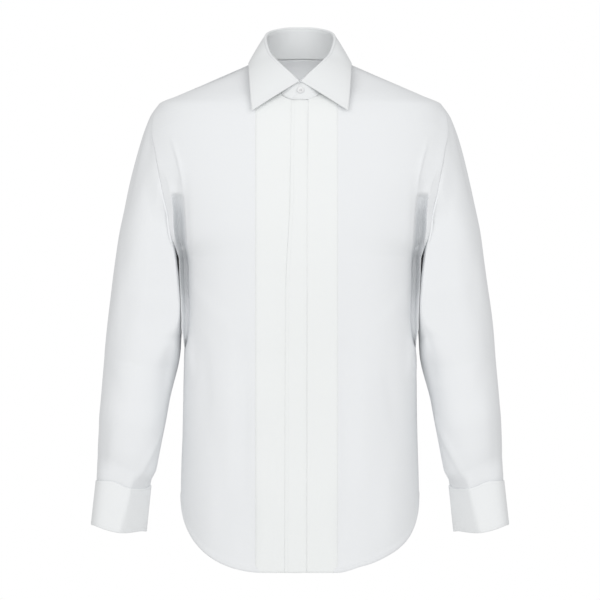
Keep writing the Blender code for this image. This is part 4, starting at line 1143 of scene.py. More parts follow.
def creased_sleeve(angle, share, side, wrap):
    """The sleeve's outer face with its creases, on the wearer's left."""
    points = sleeve_place(angle, share)
    normals = away_from(points, points.mean(axis=1, keepdims=True), wrap)
    if not wrap:
        inward = (normals * (points - SLEEVE_INSIDE)).sum()
        normals = -normals if inward < 0 else normals
    rise = sleeve_field(angle, points[..., 2], side)
    beside_body = (
        ramp(-np.cos(angle), *BESIDE_BODY_TURN) * ramp(points[..., 2], *BESIDE_BODY_LEVEL))
    fade = smoothstep(share / SLEEVE_FADE_TOP) * smoothstep((1 - share) / SLEEVE_FADE_CUFF)
    fade = fade * (1 - beside_body)
    above_cuff = points[..., 2] - cuff_ring(angle, CUFF_CLOTH)[..., 2]
    swell = smooth_table(BLOUSE, "rise", above_cuff, key="above_cuff") * np.abs(np.sin(angle))
    return points + normals * (rise * fade + swell)[..., None], normals


def sleeve_cloth(side):
    """The sleeve's outer face, from the armhole down into the cuff."""
    angle = np.linspace(0, 2 * math.pi, SLEEVE_COLUMNS + 1)[:-1]
    shares = np.concatenate((
        np.linspace(0, SLEEVE_SEAM_SHARE, SLEEVE_SEAM_ROWS),
        np.linspace(SLEEVE_SEAM_SHARE, 1, SLEEVE_ROWS)[1:]))
    angle_grid, share_grid = np.meshgrid(angle, shares)
    points, normals = creased_sleeve(angle_grid, share_grid, side, True)
    down = lengths_along(points, axis=0)
    points = points - normals * (SLEEVE_SINK * np.exp(-((down / SLEEVE_SINK_WIDTH) ** 2)))[..., None]
    points[0, :, 0] += SEAM_GAP
    tucked = cuff_ring(angle, CUFF_CLOTH + CUFF_LAYER_GAP) - np.array((0, 0, SLEEVE_TUCK_IN))
    return np.concatenate((points, tucked[None]))


def smoothed(path, rounds):
    """Rounds a path's corners and keeps its ends."""
    path = path.copy()
    for _ in range(rounds):
        path[1:-1] = path[1:-1] / 2 + (path[:-2] + path[2:]) / 4
    return path


def cuff_path(end):
    """The cuff's section from one pressed-together end round the wrist to the other."""
    ring = np.stack(cuff_section(np.linspace(*CUFF_ENDS, CUFF_SAMPLES), 0.0, end), axis=-1)
    back = -CUFF_HALF_DEPTH
    bend_out, bend_back = CUFF_FIN_BEND
    first = np.array((
        (CUFF_FIN_PART, back - CUFF_FIN),
        (CUFF_FIN_PART + bend_out, back - bend_back),
    ))
    corners = np.concatenate((first, ring, first[::-1] * np.array((-1, 1))))
    flat = np.concatenate((corners, np.zeros((len(corners), 1))), axis=1)
    return smoothed(read_line(flat, np.linspace(0, 1, CUFF_COLUMNS))[:, :2], CUFF_SMOOTHING)


def path_normals(path):
    """Outward normals of a flat path that runs forward on its right and back on its left."""
    along = np.gradient(path, axis=0)
    normals = np.stack((along[:, 1], -along[:, 0]), axis=-1)
    return normals / np.linalg.norm(normals, axis=-1, keepdims=True)


def cuff_profile(fin_share):
    """The folded cuff's closed outline: (in from the outer face, share down, metres down)."""
    gap = CUFF_LAYER_GAP + (CUFF_FIN_GAP - CUFF_LAYER_GAP) * fin_share
    through = 2 * CUFF_CLOTH + gap
    inner_layer = CUFF_CLOTH + gap
    down = np.linspace(0, 1, CUFF_DOWN_ROWS)
    turn = np.linspace(0, math.pi, CUFF_TURN_ROWS)
    fold, lining = CUFF_FOLD_DROP, CUFF_LINING_DROP
    outline = [(0.0, share, -fold * share) for share in down]
    outline += [
        (through / 2 * (1 - math.cos(a)), 1, -fold + fold * math.sin(a)) for a in turn[1:-1]]
    outline += [
        (through, share, CUFF_INNER_SHORT * (1 - share) - fold * share) for share in down[::-1]]
    outline += [(through - CUFF_CLOTH / 2, 0, CUFF_INNER_SHORT - CUFF_ROUND)]
    outline += [
        (inner_layer, share, CUFF_INNER_SHORT * (1 - share) - lining * share) for share in down]
    outline += [
        (CUFF_CLOTH + gap / 2 * (1 + math.cos(a)), 1, -lining + SEAM * math.sin(a))
        for a in turn[2:-2:2]]
    outline += [(CUFF_CLOTH, share, -lining * share) for share in down[::-1]]
    outline += [(CUFF_CLOTH / 2, 0, -CUFF_ROUND)]
    return outline


def cuff_points():
    """Rings of the folded cuff, one at each place of its path, on the wearer's left."""
    top, fold = cuff_path("top"), cuff_path("fold")
    top_normals, fold_normals = path_normals(top), path_normals(fold)
    along = lengths_along(np.concatenate((top, np.zeros((len(top), 1))), axis=1))
    from_end = np.minimum(along, along[-1] - along)
    sections = []
    for k, distance in enumerate(from_end):
        section = []
        for inset, down, lower in cuff_profile(1 - float(smoothstep(distance / CUFF_FIN_BLEND))):
            place = top[k] * (1 - down) + fold[k] * down
            normal = top_normals[k] * (1 - down) + fold_normals[k] * down
            across, forward = place - normal * inset
            section.append(cuff_place(across, forward, down) - np.array((0, 0, lower)))
        sections.append(section)
    return np.array(sections)


def neck_ring(angle):
    """The neckline that the band stands on. Below 0 the angle runs past the middle of the front."""
    size = abs(angle)
    if size <= 90:
        across = FRONT_NECK["across"][-1] * math.sin(math.radians(size))
        place = front_neck_point(across)
    else:
        place = back_neck(2 - size / 90)
    return body(*place) * np.array((math.copysign(1, angle), 1, 1))


def band_top(angle):
    """The band's top edge at an angle in degrees, 0 at the middle of the front."""
    turn = math.radians(angle)
    depth = BAND_TOP_FRONT if abs(angle) < 90 else BAND_TOP_BACK
    level = float(smooth_table(BAND_TOP, "level", angle, key="angle"))
    return np.array((BAND_TOP_HALF_WIDTH * math.sin(turn), -depth * math.cos(turn), level))


def split_angles(start, turn, columns):
    """Degrees from the start by way of the turn to the middle of the back."""
    return np.concatenate((
        np.linspace(start, turn, columns[0]), np.linspace(turn, 180, columns[1])[1:]))


def band_angles():
    """The band's columns in degrees, from past the middle of the front to the back."""
    return split_angles(-BAND_END, BAND_TURN, BAND_COLUMNS)


def band_half():
    """The band's outer face from its front end to the middle of the back, on the wearer's left."""
    columns = []
    for angle in band_angles():
        lift = BAND_LIFT * float(ramp(abs(angle), BAND_END, BAND_END))
        low = neck_ring(angle) + np.array((0, 0, SEAM + lift))
        high = band_top(angle)
        columns.append([low + (high - low) * share for share in np.linspace(0, 1, BAND_ROWS)])
    return np.array(columns).transpose(1, 0, 2)


def band_shape(side):
    """One side of the band's outer face, with its outward directions. The left end laps over."""
    points = band_half()
    along = np.gradient(points, axis=1)
    outward = np.stack((along[..., 1], -along[..., 0], np.zeros(along.shape[:2])), axis=-1)
    outward /= np.linalg.norm(outward, axis=-1, keepdims=True)
    lap = 1 - ramp(band_angles(), BAND_LAP_START, BAND_LAP_FULL - BAND_LAP_START)
    lap = lap * BAND_LAP * side_sign(side)
    return mirrored(points + outward * lap[None, :, None], side), mirrored(outward, side)


def leaf_edge(angle):
    """The leaf's lower edge at an angle in degrees."""
    return np.array([
        float(smooth_table(LEAF_EDGE, name, angle, key="angle"))
        for name in ("across", "along", "level")])


def leaf_frame(angle):
    """Where the leaf starts on the band, and the directions out of and up from the band there."""
    before, after = band_top(angle - 1), band_top(angle + 1)
    along = after - before
    along /= np.linalg.norm(along)
    out = np.array((along[1], -along[0], 0.0))
    out /= np.linalg.norm(out)
    return band_top(angle), out, np.cross(out, along)


def clear_of_chest(point):
    """Keeps a point of the leaf in front of the chest and its bib."""
    across, along, level = point
    half_width, front, _, squareness = (float(smooth_table(BODY, name, level)) for name in BODY_SIZES)
    share = abs(across) / half_width
    if share >= 1 or along > 0:
        return point
    chest = -front * (1 - share ** squareness) ** (1 / squareness)
    return np.array((across, min(along, chest - LEAF_CLEAR), level))


def leaf_column(angle):
    """Outer face of the leaf at one angle: up, over the roll and down to its edge."""
    start, out, up = leaf_frame(angle)
    centre = LEAF_ROLL - BAND_CLOTH
    column = [start - out * BAND_CLOTH + up * LEAF_LIFT]
    for turn in np.linspace(math.pi, 0, LEAF_ROLL_ROWS):
        column.append(start + out * (centre + LEAF_ROLL * math.cos(turn))
                      + up * (LEAF_RISE + LEAF_ROLL * math.sin(turn)))
    edge = leaf_edge(angle)
    top = column[-1]
    for row in range(1, LEAF_ROWS + 1):
        share = row / LEAF_ROWS
        swell = LEAF_SWELL * 4 * share * (1 - share)
        column.append(clear_of_chest(top + (edge - top) * share + (out + up) * swell))
    return column


def leaf_cloth():
    """Outer face of the leaf from its left front edge round the back to its right one."""
    angles = split_angles(LEAF_START, LEAF_TURN, LEAF_COLUMNS)
    half = np.array([leaf_column(angle) for angle in angles]).transpose(1, 0, 2)
    return round_back(half, mirrored(half, "right"))


def closed_loop(rows, columns):
    """Grid places round the border of a grid, in order, with the neighbour inside each."""
    border = [(0, c) for c in range(columns)]
    border += [(r, columns - 1) for r in range(1, rows)]
    border += [(rows - 1, c) for c in range(columns - 2, -1, -1)]
    border += [(r, 0) for r in range(rows - 2, 0, -1)]
    inside = [(min(max(r, 1), rows - 2), min(max(c, 1), columns - 2)) for r, c in border]
    return np.array(border), np.array(inside)


def wall_faces(rows, columns, wrap):
    """Squares of a grid's points, with the row and the column of each corner."""
    row, column = np.meshgrid(
        np.arange(rows - 1), np.arange(columns if wrap else columns - 1), indexing="ij")
    row, column = row.ravel(), column.ravel()
    corner_rows = np.stack((row, row, row + 1, row + 1), axis=1)
    corner_columns = np.stack((column, column + 1, column + 1, column), axis=1)
    return corner_rows * columns + corner_columns % columns, corner_rows, corner_columns


def rounded_edges(outer, inner, wrap):
    """Points half way through the cloth that round its edges, and the squares that reach them."""
    rows, columns = outer.shape[:2]
    count = rows * columns
    if wrap:
        loops = [(np.array([(r, c) for c in range(columns)]),
                  np.array([(1 if r == 0 else r - 1, c) for c in range(columns)]))
                 for r in (0, rows - 1)]
    else:
        loops = [closed_loop(rows, columns)]
    added, faces = [], []
    for loop, inside in loops:
        out, inn = outer[loop[:, 0], loop[:, 1]], inner[loop[:, 0], loop[:, 1]]
        away = unit(out - outer[inside[:, 0], inside[:, 1]])
        half = np.linalg.norm(out - inn, axis=1, keepdims=True) / 2
        base = 2 * count + sum(len(part) for part in added)
        added.append((out + inn) / 2 + away * half * EDGE_ROUNDNESS)
        place = loop[:, 0] * columns + loop[:, 1]
        after = np.roll(place, -1)
        edge = base + np.arange(len(loop))
        edge_after = np.roll(edge, -1)
        faces.append(np.stack((place, edge, edge_after, after), axis=1))
        faces.append(np.stack((place + count, after + count, edge_after, edge), axis=1))
    return np.concatenate(added), np.concatenate(faces)


def mesh_volume(vertices, faces):
    """Volume inside a closed mesh of squares, below 0 if they face inwards."""
    a, b, c, d = (vertices[faces[:, k]] for k in range(4))
    first = np.einsum("ij,ij->i", a, np.cross(b, c))
    return (first + np.einsum("ij,ij->i", a, np.cross(c, d))).sum() / 6


def make_mesh(name, vertices, faces, uvs, material):
    """A mesh object of squares, turned to face outwards, with cloth coordinates in metres."""
    if mesh_volume(vertices, faces) < 0:
        faces, uvs = faces[:, ::-1], uvs[:, ::-1]
    mesh = bpy.data.meshes.new(name)
    mesh.vertices.add(len(vertices))
    mesh.vertices.foreach_set("co", vertices.astype(np.float32).ravel())
    mesh.loops.add(faces.size)
    mesh.loops.foreach_set("vertex_index", faces.astype(np.int32).ravel())
    mesh.polygons.add(len(faces))
    mesh.polygons.foreach_set("loop_start", np.arange(0, faces.size, 4, dtype=np.int32))
    mesh.polygons.foreach_set("use_smooth", np.ones(len(faces), bool))
    layer = mesh.uv_layers.new(name="cloth")
    layer.uv.foreach_set("vector", uvs.astype(np.float32).ravel())
    mesh.update(calc_edges=True)
    mesh.validate()
    mesh.materials.append(material)
    made = bpy.data.objects.new(name, mesh)
    bpy.context.scene.collection.objects.link(made)
    return made


def wrapped(points):
    """A closed ring's grid with its first column again at its end."""
    return np.concatenate((points, points[:, :1]), axis=1)


def make_shell(name, outer, inner, material, wrap=False):
    """A closed shell of cloth between two grids, with rounded edges."""
    rows, columns = outer.shape[:2]
    count = rows * columns
    squares, corner_rows, corner_columns = wall_faces(rows, columns, wrap)
    edge_points, edge_faces = rounded_edges(outer, inner, wrap)
    whole = wrapped(outer) if wrap else outer
    along, up = lengths_along(whole, axis=1), lengths_along(whole, axis=0)
    wall_uv = np.stack((along[corner_rows, corner_columns], up[corner_rows, corner_columns]), axis=-1)
    flat_uv = np.stack((along[:, :columns].ravel(), up[:, :columns].ravel()), axis=-1)
    plain_uv = np.concatenate((flat_uv, flat_uv, np.zeros((len(edge_points), 2))))
    edge_uv = plain_uv[edge_faces]
    from_edge = edge_faces >= 2 * count
    edge_uv = np.where(from_edge[..., None], edge_uv[:, :1] + EDGE_COORDINATE, edge_uv)
    vertices = np.concatenate((outer.reshape(-1, 3), inner.reshape(-1, 3), edge_points))
    faces = np.concatenate((squares, (squares + count)[:, ::-1], edge_faces))
    uvs = np.concatenate((wall_uv, wall_uv[:, ::-1], edge_uv))
    return make_mesh(name, vertices, faces, uvs, material)


def line_inside(points, edge, distance):
    """A line this far in from one edge of a grid: first_row, last_row, first_column, last_column."""
    turned = {
        "first_row": points.transpose(1, 0, 2),
        "last_row": points[::-1].transpose(1, 0, 2),
        "first_column": points,
        "last_column": points[:, ::-1],
    }[edge]
    return np.array([
        [np.interp(distance, along, line[:, k]) for k in range(3)]
        for line, along in zip(turned, lengths_along(turned, axis=1))
    ])


def stitch_run(line, away):
    """Vertices and squares of a run of raised stitches along a line of points."""
    sizes = bpy.context.scene.shirt_sizes
    along = lengths_along(line)
    pitch = sizes.stitch + sizes.stitch_gap
    count = int(along[-1] / pitch)
    starts = np.arange(count) * pitch + sizes.stitch_gap / 2
    shares = np.array(STITCH_SHARES)
    wanted = starts[:, None] + sizes.stitch * shares
    middle = at_places(wanted, along, line)
    lift = unit(at_places(wanted, along, away))
    beside = np.cross(lift, unit(middle[:, -1:] - middle[:, :1]))
    thick = sizes.thread * np.array(STITCH_THICK)
    rise = sizes.thread * np.array(STITCH_RISE)
    turn = 2 * math.pi * np.arange(STITCH_RING) / STITCH_RING
    ring = (
        middle[..., None, :] + lift[..., None, :] * rise[None, :, None, None]
        + thick[None, :, None, None] * (
            lift[..., None, :] * np.sin(turn)[None, None, :, None]
            + beside[..., None, :] * np.cos(turn)[None, None, :, None])
    )
    vertices = ring.reshape(-1, 3)
    spans = []
    for place in range(len(shares) - 1):
        for k in range(STITCH_RING):
            a, b = place * STITCH_RING + k, place * STITCH_RING + (k + 1) % STITCH_RING
            spans.append((a, b, b + STITCH_RING, a + STITCH_RING))
    per_stitch = len(shares) * STITCH_RING
    faces = np.array(spans)[None] + (np.arange(count) * per_stitch)[:, None, None]
    return vertices, faces.reshape(-1, 4)


def make_stitches(name, runs):
    """One piece that holds several runs of stitches, each a line and the direction away from it."""
    vertices, faces, total = [], [], 0
    for line, away in runs:
        run_vertices, run_faces = stitch_run(line, away)
        vertices.append(run_vertices)
        faces.append(run_faces + total)
        total += len(run_vertices)
    vertices, faces = np.concatenate(vertices), np.concatenate(faces)
    uvs = vertices[faces][..., [0, 2]]
    made = make_mesh(name, vertices, faces, uvs, finish("thread"))
    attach(made, "root")


def edge_run(points, normals, edge, distance, side="left", rows=slice(None)):
    """A line of stitches inside one edge of a grid, with its normals, on its own side."""
    line = line_inside(points, edge, distance)[rows]
    away = line_inside(points + normals * STITCH_AWAY, edge, distance)[rows] - line
    return mirrored(line, side), mirrored(away, side)


class Signal:
    """A shader socket that takes part in arithmetic."""

    def __init__(self, maker, socket):
        self.maker = maker
        self.socket = socket

    def __add__(self, other):
        return self.maker.maths("ADD", self, other)

    def __mul__(self, other):
        return self.maker.maths("MULTIPLY", self, other)


class Finish:
    """A material whose nodes are added one by one."""

    def __init__(self, name):
        self.material = bpy.data.materials.new(name)
        self.material.use_nodes = True
        self.tree = self.material.node_tree
        self.tree.nodes.clear()

    def node(self, kind, settings=None, values=None):
        """Adds a node, applies its settings and then fills or links its sockets."""
        made = self.tree.nodes.new(kind)
        for key, value in (settings or {}).items():
            setattr(made, key, value)
        for key, value in (values or {}).items():
            if isinstance(value, Signal):
                self.tree.links.new(value.socket, made.inputs[key])
            else:
                made.inputs[key].default_value = value
        return made

    def signal(self, kind, output, settings=None, values=None):
        return Signal(self, self.node(kind, settings, values).outputs[output])

    def maths(self, operation, first, second=0.0):
        return self.signal("ShaderNodeMath", 0, {"operation": operation}, {0: first, 1: second})

    def mix(self, share, first, second):
        """A colour between two colours."""
        settings = {"data_type": "RGBA", "blend_type": "MIX"}
        return self.signal("ShaderNodeMix", 2, settings, {0: share, 6: first, 7: second})

    def tones(self, share, colour, kind):
        """The colour between its darker and its lighter tone."""
        darker, lighter = (shade(colour, factor) for factor in TONES[kind])
        return self.mix(share, darker, lighter)

    def noise(self, place, scale, detail=2.0):
        values = {"Vector": place, "Scale": scale, "Detail": detail}
        return self.signal("ShaderNodeTexNoise", 0, None, values)

    def bump(self, height, strength, distance):
        values = {"Height": height, "Strength": strength, "Distance": distance}
        return self.signal("ShaderNodeBump", 0, None, values)

    def stretched(self, place, factors):
        values = {0: place, 1: factors}
        return self.signal("ShaderNodeVectorMath", 0, {"operation": "MULTIPLY"}, values)

    def close(self, values):
        """Ends the material in a Principled shader."""
        shader = self.node("ShaderNodeBsdfPrincipled", None, values)
        output = self.node("ShaderNodeOutputMaterial")
        self.tree.links.new(shader.outputs[0], output.inputs[0])
        return self.material


def shade(colour, factor):
    """A darker or lighter colour, opaque."""
    return tuple(min(part * factor, 1.0) for part in colour) + (1.0,)


def woven_cloth(name, colour, roughness, sheen, depth):
    """Plain weave with uneven yarns, a faint cloudiness and a soft sheen."""
    yarn = bpy.context.scene.shirt_sizes.yarn
    made = Finish(name)
    place = made.signal("ShaderNodeUVMap", 0, {"uv_map": "cloth"})
    parts = made.node("ShaderNodeSeparateXYZ", None, {0: place})
    across, along = Signal(made, parts.outputs[0]), Signal(made, parts.outputs[1])
    warp = made.maths("SINE", across * (math.pi / yarn))
    weft = made.maths("SINE", along * (math.pi / yarn))
    warp_yarns = made.noise(made.stretched(place, (1 / yarn, YARN_STRETCH, 1.0)), 1.0)
    weft_yarns = made.noise(made.stretched(place, (YARN_STRETCH, 1 / yarn, 1.0)), 1.0)
    slub = (warp_yarns + weft_yarns) * 0.5
    solid = made.signal("ShaderNodeTexCoord", 3)
    cloud = made.noise(solid, CLOUD_SCALE, 3.0)
    tone = cloud * CLOUD_SHARE + slub * (1 - CLOUD_SHARE)
    base = made.tones(tone, colour, "cloth")
    return made.close({
        "Base Color": base,
        "Roughness": slub * ROUGHNESS_SPREAD + (roughness - ROUGHNESS_SPREAD / 2),
        "Normal": made.bump(warp * weft * WEAVE_SHARE + slub, WEAVE_STRENGTH, depth),
        "Sheen Weight": sheen,
        "Sheen Roughness": 0.45,
        "Specular IOR Level": 0.25,
    })


def twisted_thread(name, colour):
    """Sewing thread with a fine twist along it."""
    made = Finish(name)
    place = made.signal("ShaderNodeTexCoord", 3)
    parts = made.node("ShaderNodeSeparateXYZ", None, {0: place})
    x, y, z = (Signal(made, parts.outputs[k]) for k in range(3))
    twist = made.maths("SINE", (x + y + z) * (2 * math.pi / TWIST_LENGTH))
    share = twist * 0.5 + 0.5
    base = made.tones(share, colour, "thread")
    return made.close({
        "Base Color": base,
        "Roughness": 0.55,
        "Normal": made.bump(share, TWIST_STRENGTH, TWIST_DEPTH),
        "Sheen Weight": 0.1,
    })


def polished_shell(name, colour):
    """Pale polished button with faint bands of growth."""
    made = Finish(name)
    place = made.signal("ShaderNodeTexCoord", 3)
    bands = made.noise(made.stretched(place, GROWTH_BANDS), 1.0, 4.0)
    base = made.tones(bands, colour, "button")
    return made.close({
        "Base Color": base,
        "Roughness": bands * ROUGHNESS_SPREAD + 0.20,
        "Coat Weight": 0.4,
        "Coat Roughness": 0.12,
    })


def studio_floor(name, colour):
    """Matt painted floor with faint roller texture."""
    made = Finish(name)
    place = made.signal("ShaderNodeTexCoord", 3)
    grain = made.noise(place, GRAIN_SCALE, 3.0)
    base = made.tones(grain, colour, "floor")
    return made.close({
        "Base Color": base,
        "Roughness": 0.9,
        "Specular IOR Level": 0.1,
    })


def finish(name):
    """The named finish, made at its first use."""
    label = name + "_finish"
    ready = bpy.data.materials.get(label)
    if ready:
        return ready
    colours = getattr(bpy.context.scene.shirt_colours, name)
    if name in WOVEN:
        return woven_cloth(label, colours, *WOVEN[name])
    makers = {"thread": twisted_thread, "button": polished_shell, "floor": studio_floor}
    return makers[name](label, colours)


def grid_area(points):
    """Area of a grid's cloth in square metres."""
    a, b, c, d = points[:-1, :-1], points[:-1, 1:], points[1:, 1:], points[1:, :-1]
    return float(np.linalg.norm(np.cross(c - a, d - b), axis=-1).sum() / 2)


def stand_for(piece, node):
    """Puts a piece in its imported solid's place."""
    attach(piece, "root")
    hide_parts(node)


def declare_cloth(piece, points, layers=1):
    """Checks the flat size of the cloth that a piece's grid shows, for one of its layers, and stops if
    the grid fills too little of it.
    """
    width = float(lengths_along(points, axis=1)[:, -1].max())
    length = float(lengths_along(points, axis=0)[-1].max()) / layers
    area = grid_area(points) / layers
    if area < LEAST_FLAT_SHARE * width * length:
        raise RuntimeError(f"{piece.name}: the cloth fills too little of its flat size")


def make_cloth(node, outer, inner, look, side="left", wrap=False):
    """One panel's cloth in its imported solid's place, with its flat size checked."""
    made = make_shell(
        f"{node}_cloth", mirrored(outer, side), mirrored(inner, side), finish(look), wrap)
    stand_for(made, node)
    declare_cloth(made, wrapped(outer) if wrap else outer)


class SHIRT_OT_fronts(Operator):
    """Makes the two fronts and their bibs"""

    bl_idname = "shirt.fronts"
    bl_label = "Fronts and bibs"

    def execute(self, context):
        for side in SIDES:
            make_front(side, context.scene.shirt_sizes)
        return {"FINISHED"}


def make_front(side, sizes):
    """A front with its bib and their stitches."""
    cloth, normals, steps, tuck_start = front_cloth(side)
    points = turn_hem(cloth, normals)
    points = seam_roll(points, normals, steps)
    points = fold_tucks(points, tuck_start, False)
    away = away_from(points, FRONT_CENTRE)
    make_cloth(f"front_{side}", points, points - away * sizes.cloth, "shirt", side)
    make_bib(side, sizes, cloth, normals, steps)
    make_stitches(f"hem_stitches_{side}", [edge_run(points, away, "first_row", HEM_STITCH_IN, side)])


def make_bib(side, sizes, cloth, normals, steps):
    """The bib's second layer, made from the front's points moved out."""
    last = len(lower_shares()) + int((steps >= BIB_TOP_STEP).sum())
    columns = FINE_COLUMNS["bib"]
    base, out = cloth[:last, :columns], normals[:last, :columns]
    inner = base + out * BIB_LIFT
    full = smoothstep(outward_rows(base) / BIB_TAPER)
    thick = BIB_EDGE_CLOTH + (sizes.bib_cloth - BIB_EDGE_CLOTH) * full
    outer = inner + out * thick[..., None]
    make_cloth(f"bib_{side}", outer, inner, "bib", side)
    make_stitches(f"bib_stitches_{side}", [edge_run(outer, out, "last_column", BIB_STITCH_IN, side)])


class SHIRT_OT_placket(Operator):
    """Makes the covered front edge"""

    bl_idname = "shirt.placket"
    bl_label = "Placket"

    def execute(self, context):
        make_placket(context.scene.shirt_sizes)
        return {"FINISHED"}


def make_placket(sizes):
    """The covered front edge, pressed flat at its sides but for a stretch where it lifts."""
    top = front_inner(NECK_STEP, left_start)[1]
    rows = []
    for level in np.linspace(HEM_LEVEL, top - PLACKET_TOP_GAP, PLACKET_ROWS):
        edges = placket_edge("free", level), placket_edge("sewn", level)
        rows.append(body(body_angle(np.linspace(*edges, PLACKET_COLUMNS), level), level))
    points = np.array(rows)
    normals = away_from(points, FRONT_CENTRE)
    rise = front_field(points[..., 0], points[..., 2]) + PLACKET_LIFT
    points = points + normals * rise[..., None]
    along = lengths_along(points, axis=1)
    plump = PLACKET_PLUMP * np.sin(math.pi * along / along[:, -1:])
    top_level, blend = PLACKET_LIFTED_TO
    lifted = ramp(points[..., 2], *PLACKET_LIFTED_FROM) * smoothstep((top_level - points[..., 2]) / blend)
    from_edge = smoothstep(np.minimum(along, along[:, -1:] - along) / PLACKET_TAPER)
    pressed = (sizes.bib_cloth - BIB_EDGE_CLOTH) * (1 - lifted) * (1 - from_edge)
    outer = points + normals * (sizes.bib_cloth + plump - pressed)[..., None]
    make_cloth("placket", outer, points, "bib")
    make_stitches("placket_stitches", [
        edge_run(outer, normals, "last_column", SEAM_STITCH_IN),
        edge_run(outer, normals, "first_column", EDGE_STITCH_IN),
    ])


class SHIRT_OT_back(Operator):
    """Makes the back and the yoke"""

    bl_idname = "shirt.back"
    bl_label = "Back and yoke"

    def execute(self, context):
        thick = context.scene.shirt_sizes.cloth
        back, yoke = back_cloth(), yoke_cloth()
        away, yoke_away = away_from(back, BACK_CENTRE), away_from(yoke, YOKE_CENTRE)
        make_cloth("back", back, back - away * thick, "shirt")
        make_cloth("yoke", yoke, yoke - yoke_away * thick, "shirt")
        seam = YOKE_STEPS * YOKE_FINE
        below_tip = slice(YOKE_STITCH_FROM, None)
        make_stitches("back_stitches", [
            edge_run(back, away, "first_row", HEM_STITCH_IN),
            edge_run(yoke, yoke_away, "first_row", SEAM_STITCH_IN, rows=slice(seam, -seam)),
            edge_run(yoke, yoke_away, "first_column", SEAM_STITCH_IN, rows=below_tip),
            edge_run(yoke, yoke_away, "last_column", SEAM_STITCH_IN, rows=below_tip),
        ])
        return {"FINISHED"}


class SHIRT_OT_sleeves(Operator):
    """Makes the two sleeves and their plackets"""

    bl_idname = "shirt.sleeves"
    bl_label = "Sleeves"

    def execute(self, context):
        sizes = context.scene.shirt_sizes
        for side in SIDES:
            points = sleeve_cloth(side)
            away = away_from(points, points.mean(axis=1, keepdims=True), True)
            make_cloth(f"sleeve_{side}", points, points - away * sizes.cloth, "shirt",
                       side, wrap=True)
            make_sleeve_placket(side, sizes)
        return {"FINISHED"}


def make_sleeve_placket(side, sizes):
    """A strip on the back of the sleeve, pointed at its top, made from the sleeve's points."""
    across = np.linspace(-1, 1, SLEEVE_PLACKET_COLUMNS)
    down, across = np.meshgrid(np.linspace(0, 1, SLEEVE_PLACKET_ROWS), across, indexing="ij")
    top = (SLEEVE_PLACKET_TOP + SLEEVE_PLACKET_POINT * np.abs(across)) / SLEEVE_STEPS
    share = top + (SLEEVE_PLACKET_END - top) * down
    angle = SLEEVE_PLACKET_ANGLE + across * math.pi / ARM_STEPS
    base, normals = creased_sleeve(angle, share, side, False)
    inner = base + normals * SEAM
    outer = inner + normals * sizes.bib_cloth
    make_cloth(f"sleeve_placket_{side}", outer, inner, "shirt", side)
    make_stitches(f"sleeve_placket_stitches_{side}", [
        edge_run(outer, normals, edge, SEAM_STITCH_IN, side)
        for edge in ("first_row", "first_column", "last_column")])


class SHIRT_OT_cuffs(Operator):
    """Makes the two turned-back cuffs"""

    bl_idname = "shirt.cuffs"
    bl_label = "Cuffs"

    def execute(self, context):
        rings = cuff_points()
        laid_out = wrapped(rings).transpose(1, 0, 2)
        away = rings[:, CUFF_STITCH_ROWS] - rings[:, CUFF_LINING_ROWS]
        run = slice(CUFF_STITCH_FROM, -CUFF_STITCH_FROM)
        for side in SIDES:
            made = make_cuff(side, mirrored(rings, side))
            stand_for(made, f"cuff_{side}")
            declare_cloth(made, laid_out, layers=2)
            make_stitches(f"cuff_stitches_{side}", [
                (mirrored(rings[run, row], side), mirrored(away[run, k], side))
                for k, row in enumerate(CUFF_STITCH_ROWS)])
        return {"FINISHED"}


def end_squares(ring):
    """Squares across the flat end of a tube, from its last ring of vertices."""
    return [(ring[k], ring[k + 1], ring[-2 - k], ring[-1 - k]) for k in range(len(ring) // 2 - 1)]


def make_cuff(side, rings):
    """The folded cuff as one closed band, with its two ends capped."""
    count, corners = rings.shape[:2]
    squares, ring_rows, ring_columns = wall_faces(count, corners, True)
    along = lengths_along(rings, axis=0)[:, :1]
    around = lengths_along(rings, axis=1)
    around = np.concatenate((around, around[:, -1:] + CAP_COORDINATE), axis=1)
    uvs = np.stack((along[ring_rows, 0], around[ring_rows, ring_columns]), axis=-1)
    vertices = rings.reshape(-1, 3)
    faces, cap_uvs = [squares], [uvs]
    for base, is_last in ((0, False), ((count - 1) * corners, True)):
        caps = end_squares(base + np.arange(corners))
        caps = caps if is_last else [(a, d, c, b) for a, b, c, d in caps]
        faces.append(np.array(caps))
        cap_uvs.append(vertices[faces[-1]][..., [0, 2]])
    # The cuffs' finish carries their lightened colour, which is painted light on the cuffs.
    return make_mesh(f"cuff_{side}_cloth", vertices, np.concatenate(faces),
                     np.concatenate(cap_uvs), finish("cuff"))


class SHIRT_OT_collar(Operator):
    """Makes the collar's band and leaf"""

    bl_idname = "shirt.collar"
    bl_label = "Collar"

    def execute(self, context):
        (left, left_out), (right, right_out) = (band_shape(side) for side in SIDES)
        band, outward = round_back(left, right), round_back(left_out, right_out)
        make_cloth("collar_band", band, band - outward * BAND_CLOTH, "collar")
        leaf = leaf_cloth()
        away = away_from(leaf, LEAF_CENTRE)
        make_cloth("collar_leaf", leaf, leaf - away * LEAF_CLOTH, "collar")
        below_roll = slice(LEAF_ROLL_ROWS - 1, None)
        make_stitches("collar_stitches", [
            edge_run(leaf, away, "last_row", EDGE_STITCH_IN),
            edge_run(leaf[below_roll], away[below_roll], "first_column", EDGE_STITCH_IN),
            edge_run(leaf[below_roll], away[below_roll], "last_column", EDGE_STITCH_IN),
            edge_run(band, outward, "first_row", SEAM_STITCH_IN),
        ])
        return {"FINISHED"}


class SHIRT_OT_button(Operator):
    """Makes the collar button, its holes and its thread"""

    bl_idname = "shirt.button"
    bl_label = "Collar button"

    def execute(self, context):
        make_button()
        return {"FINISHED"}


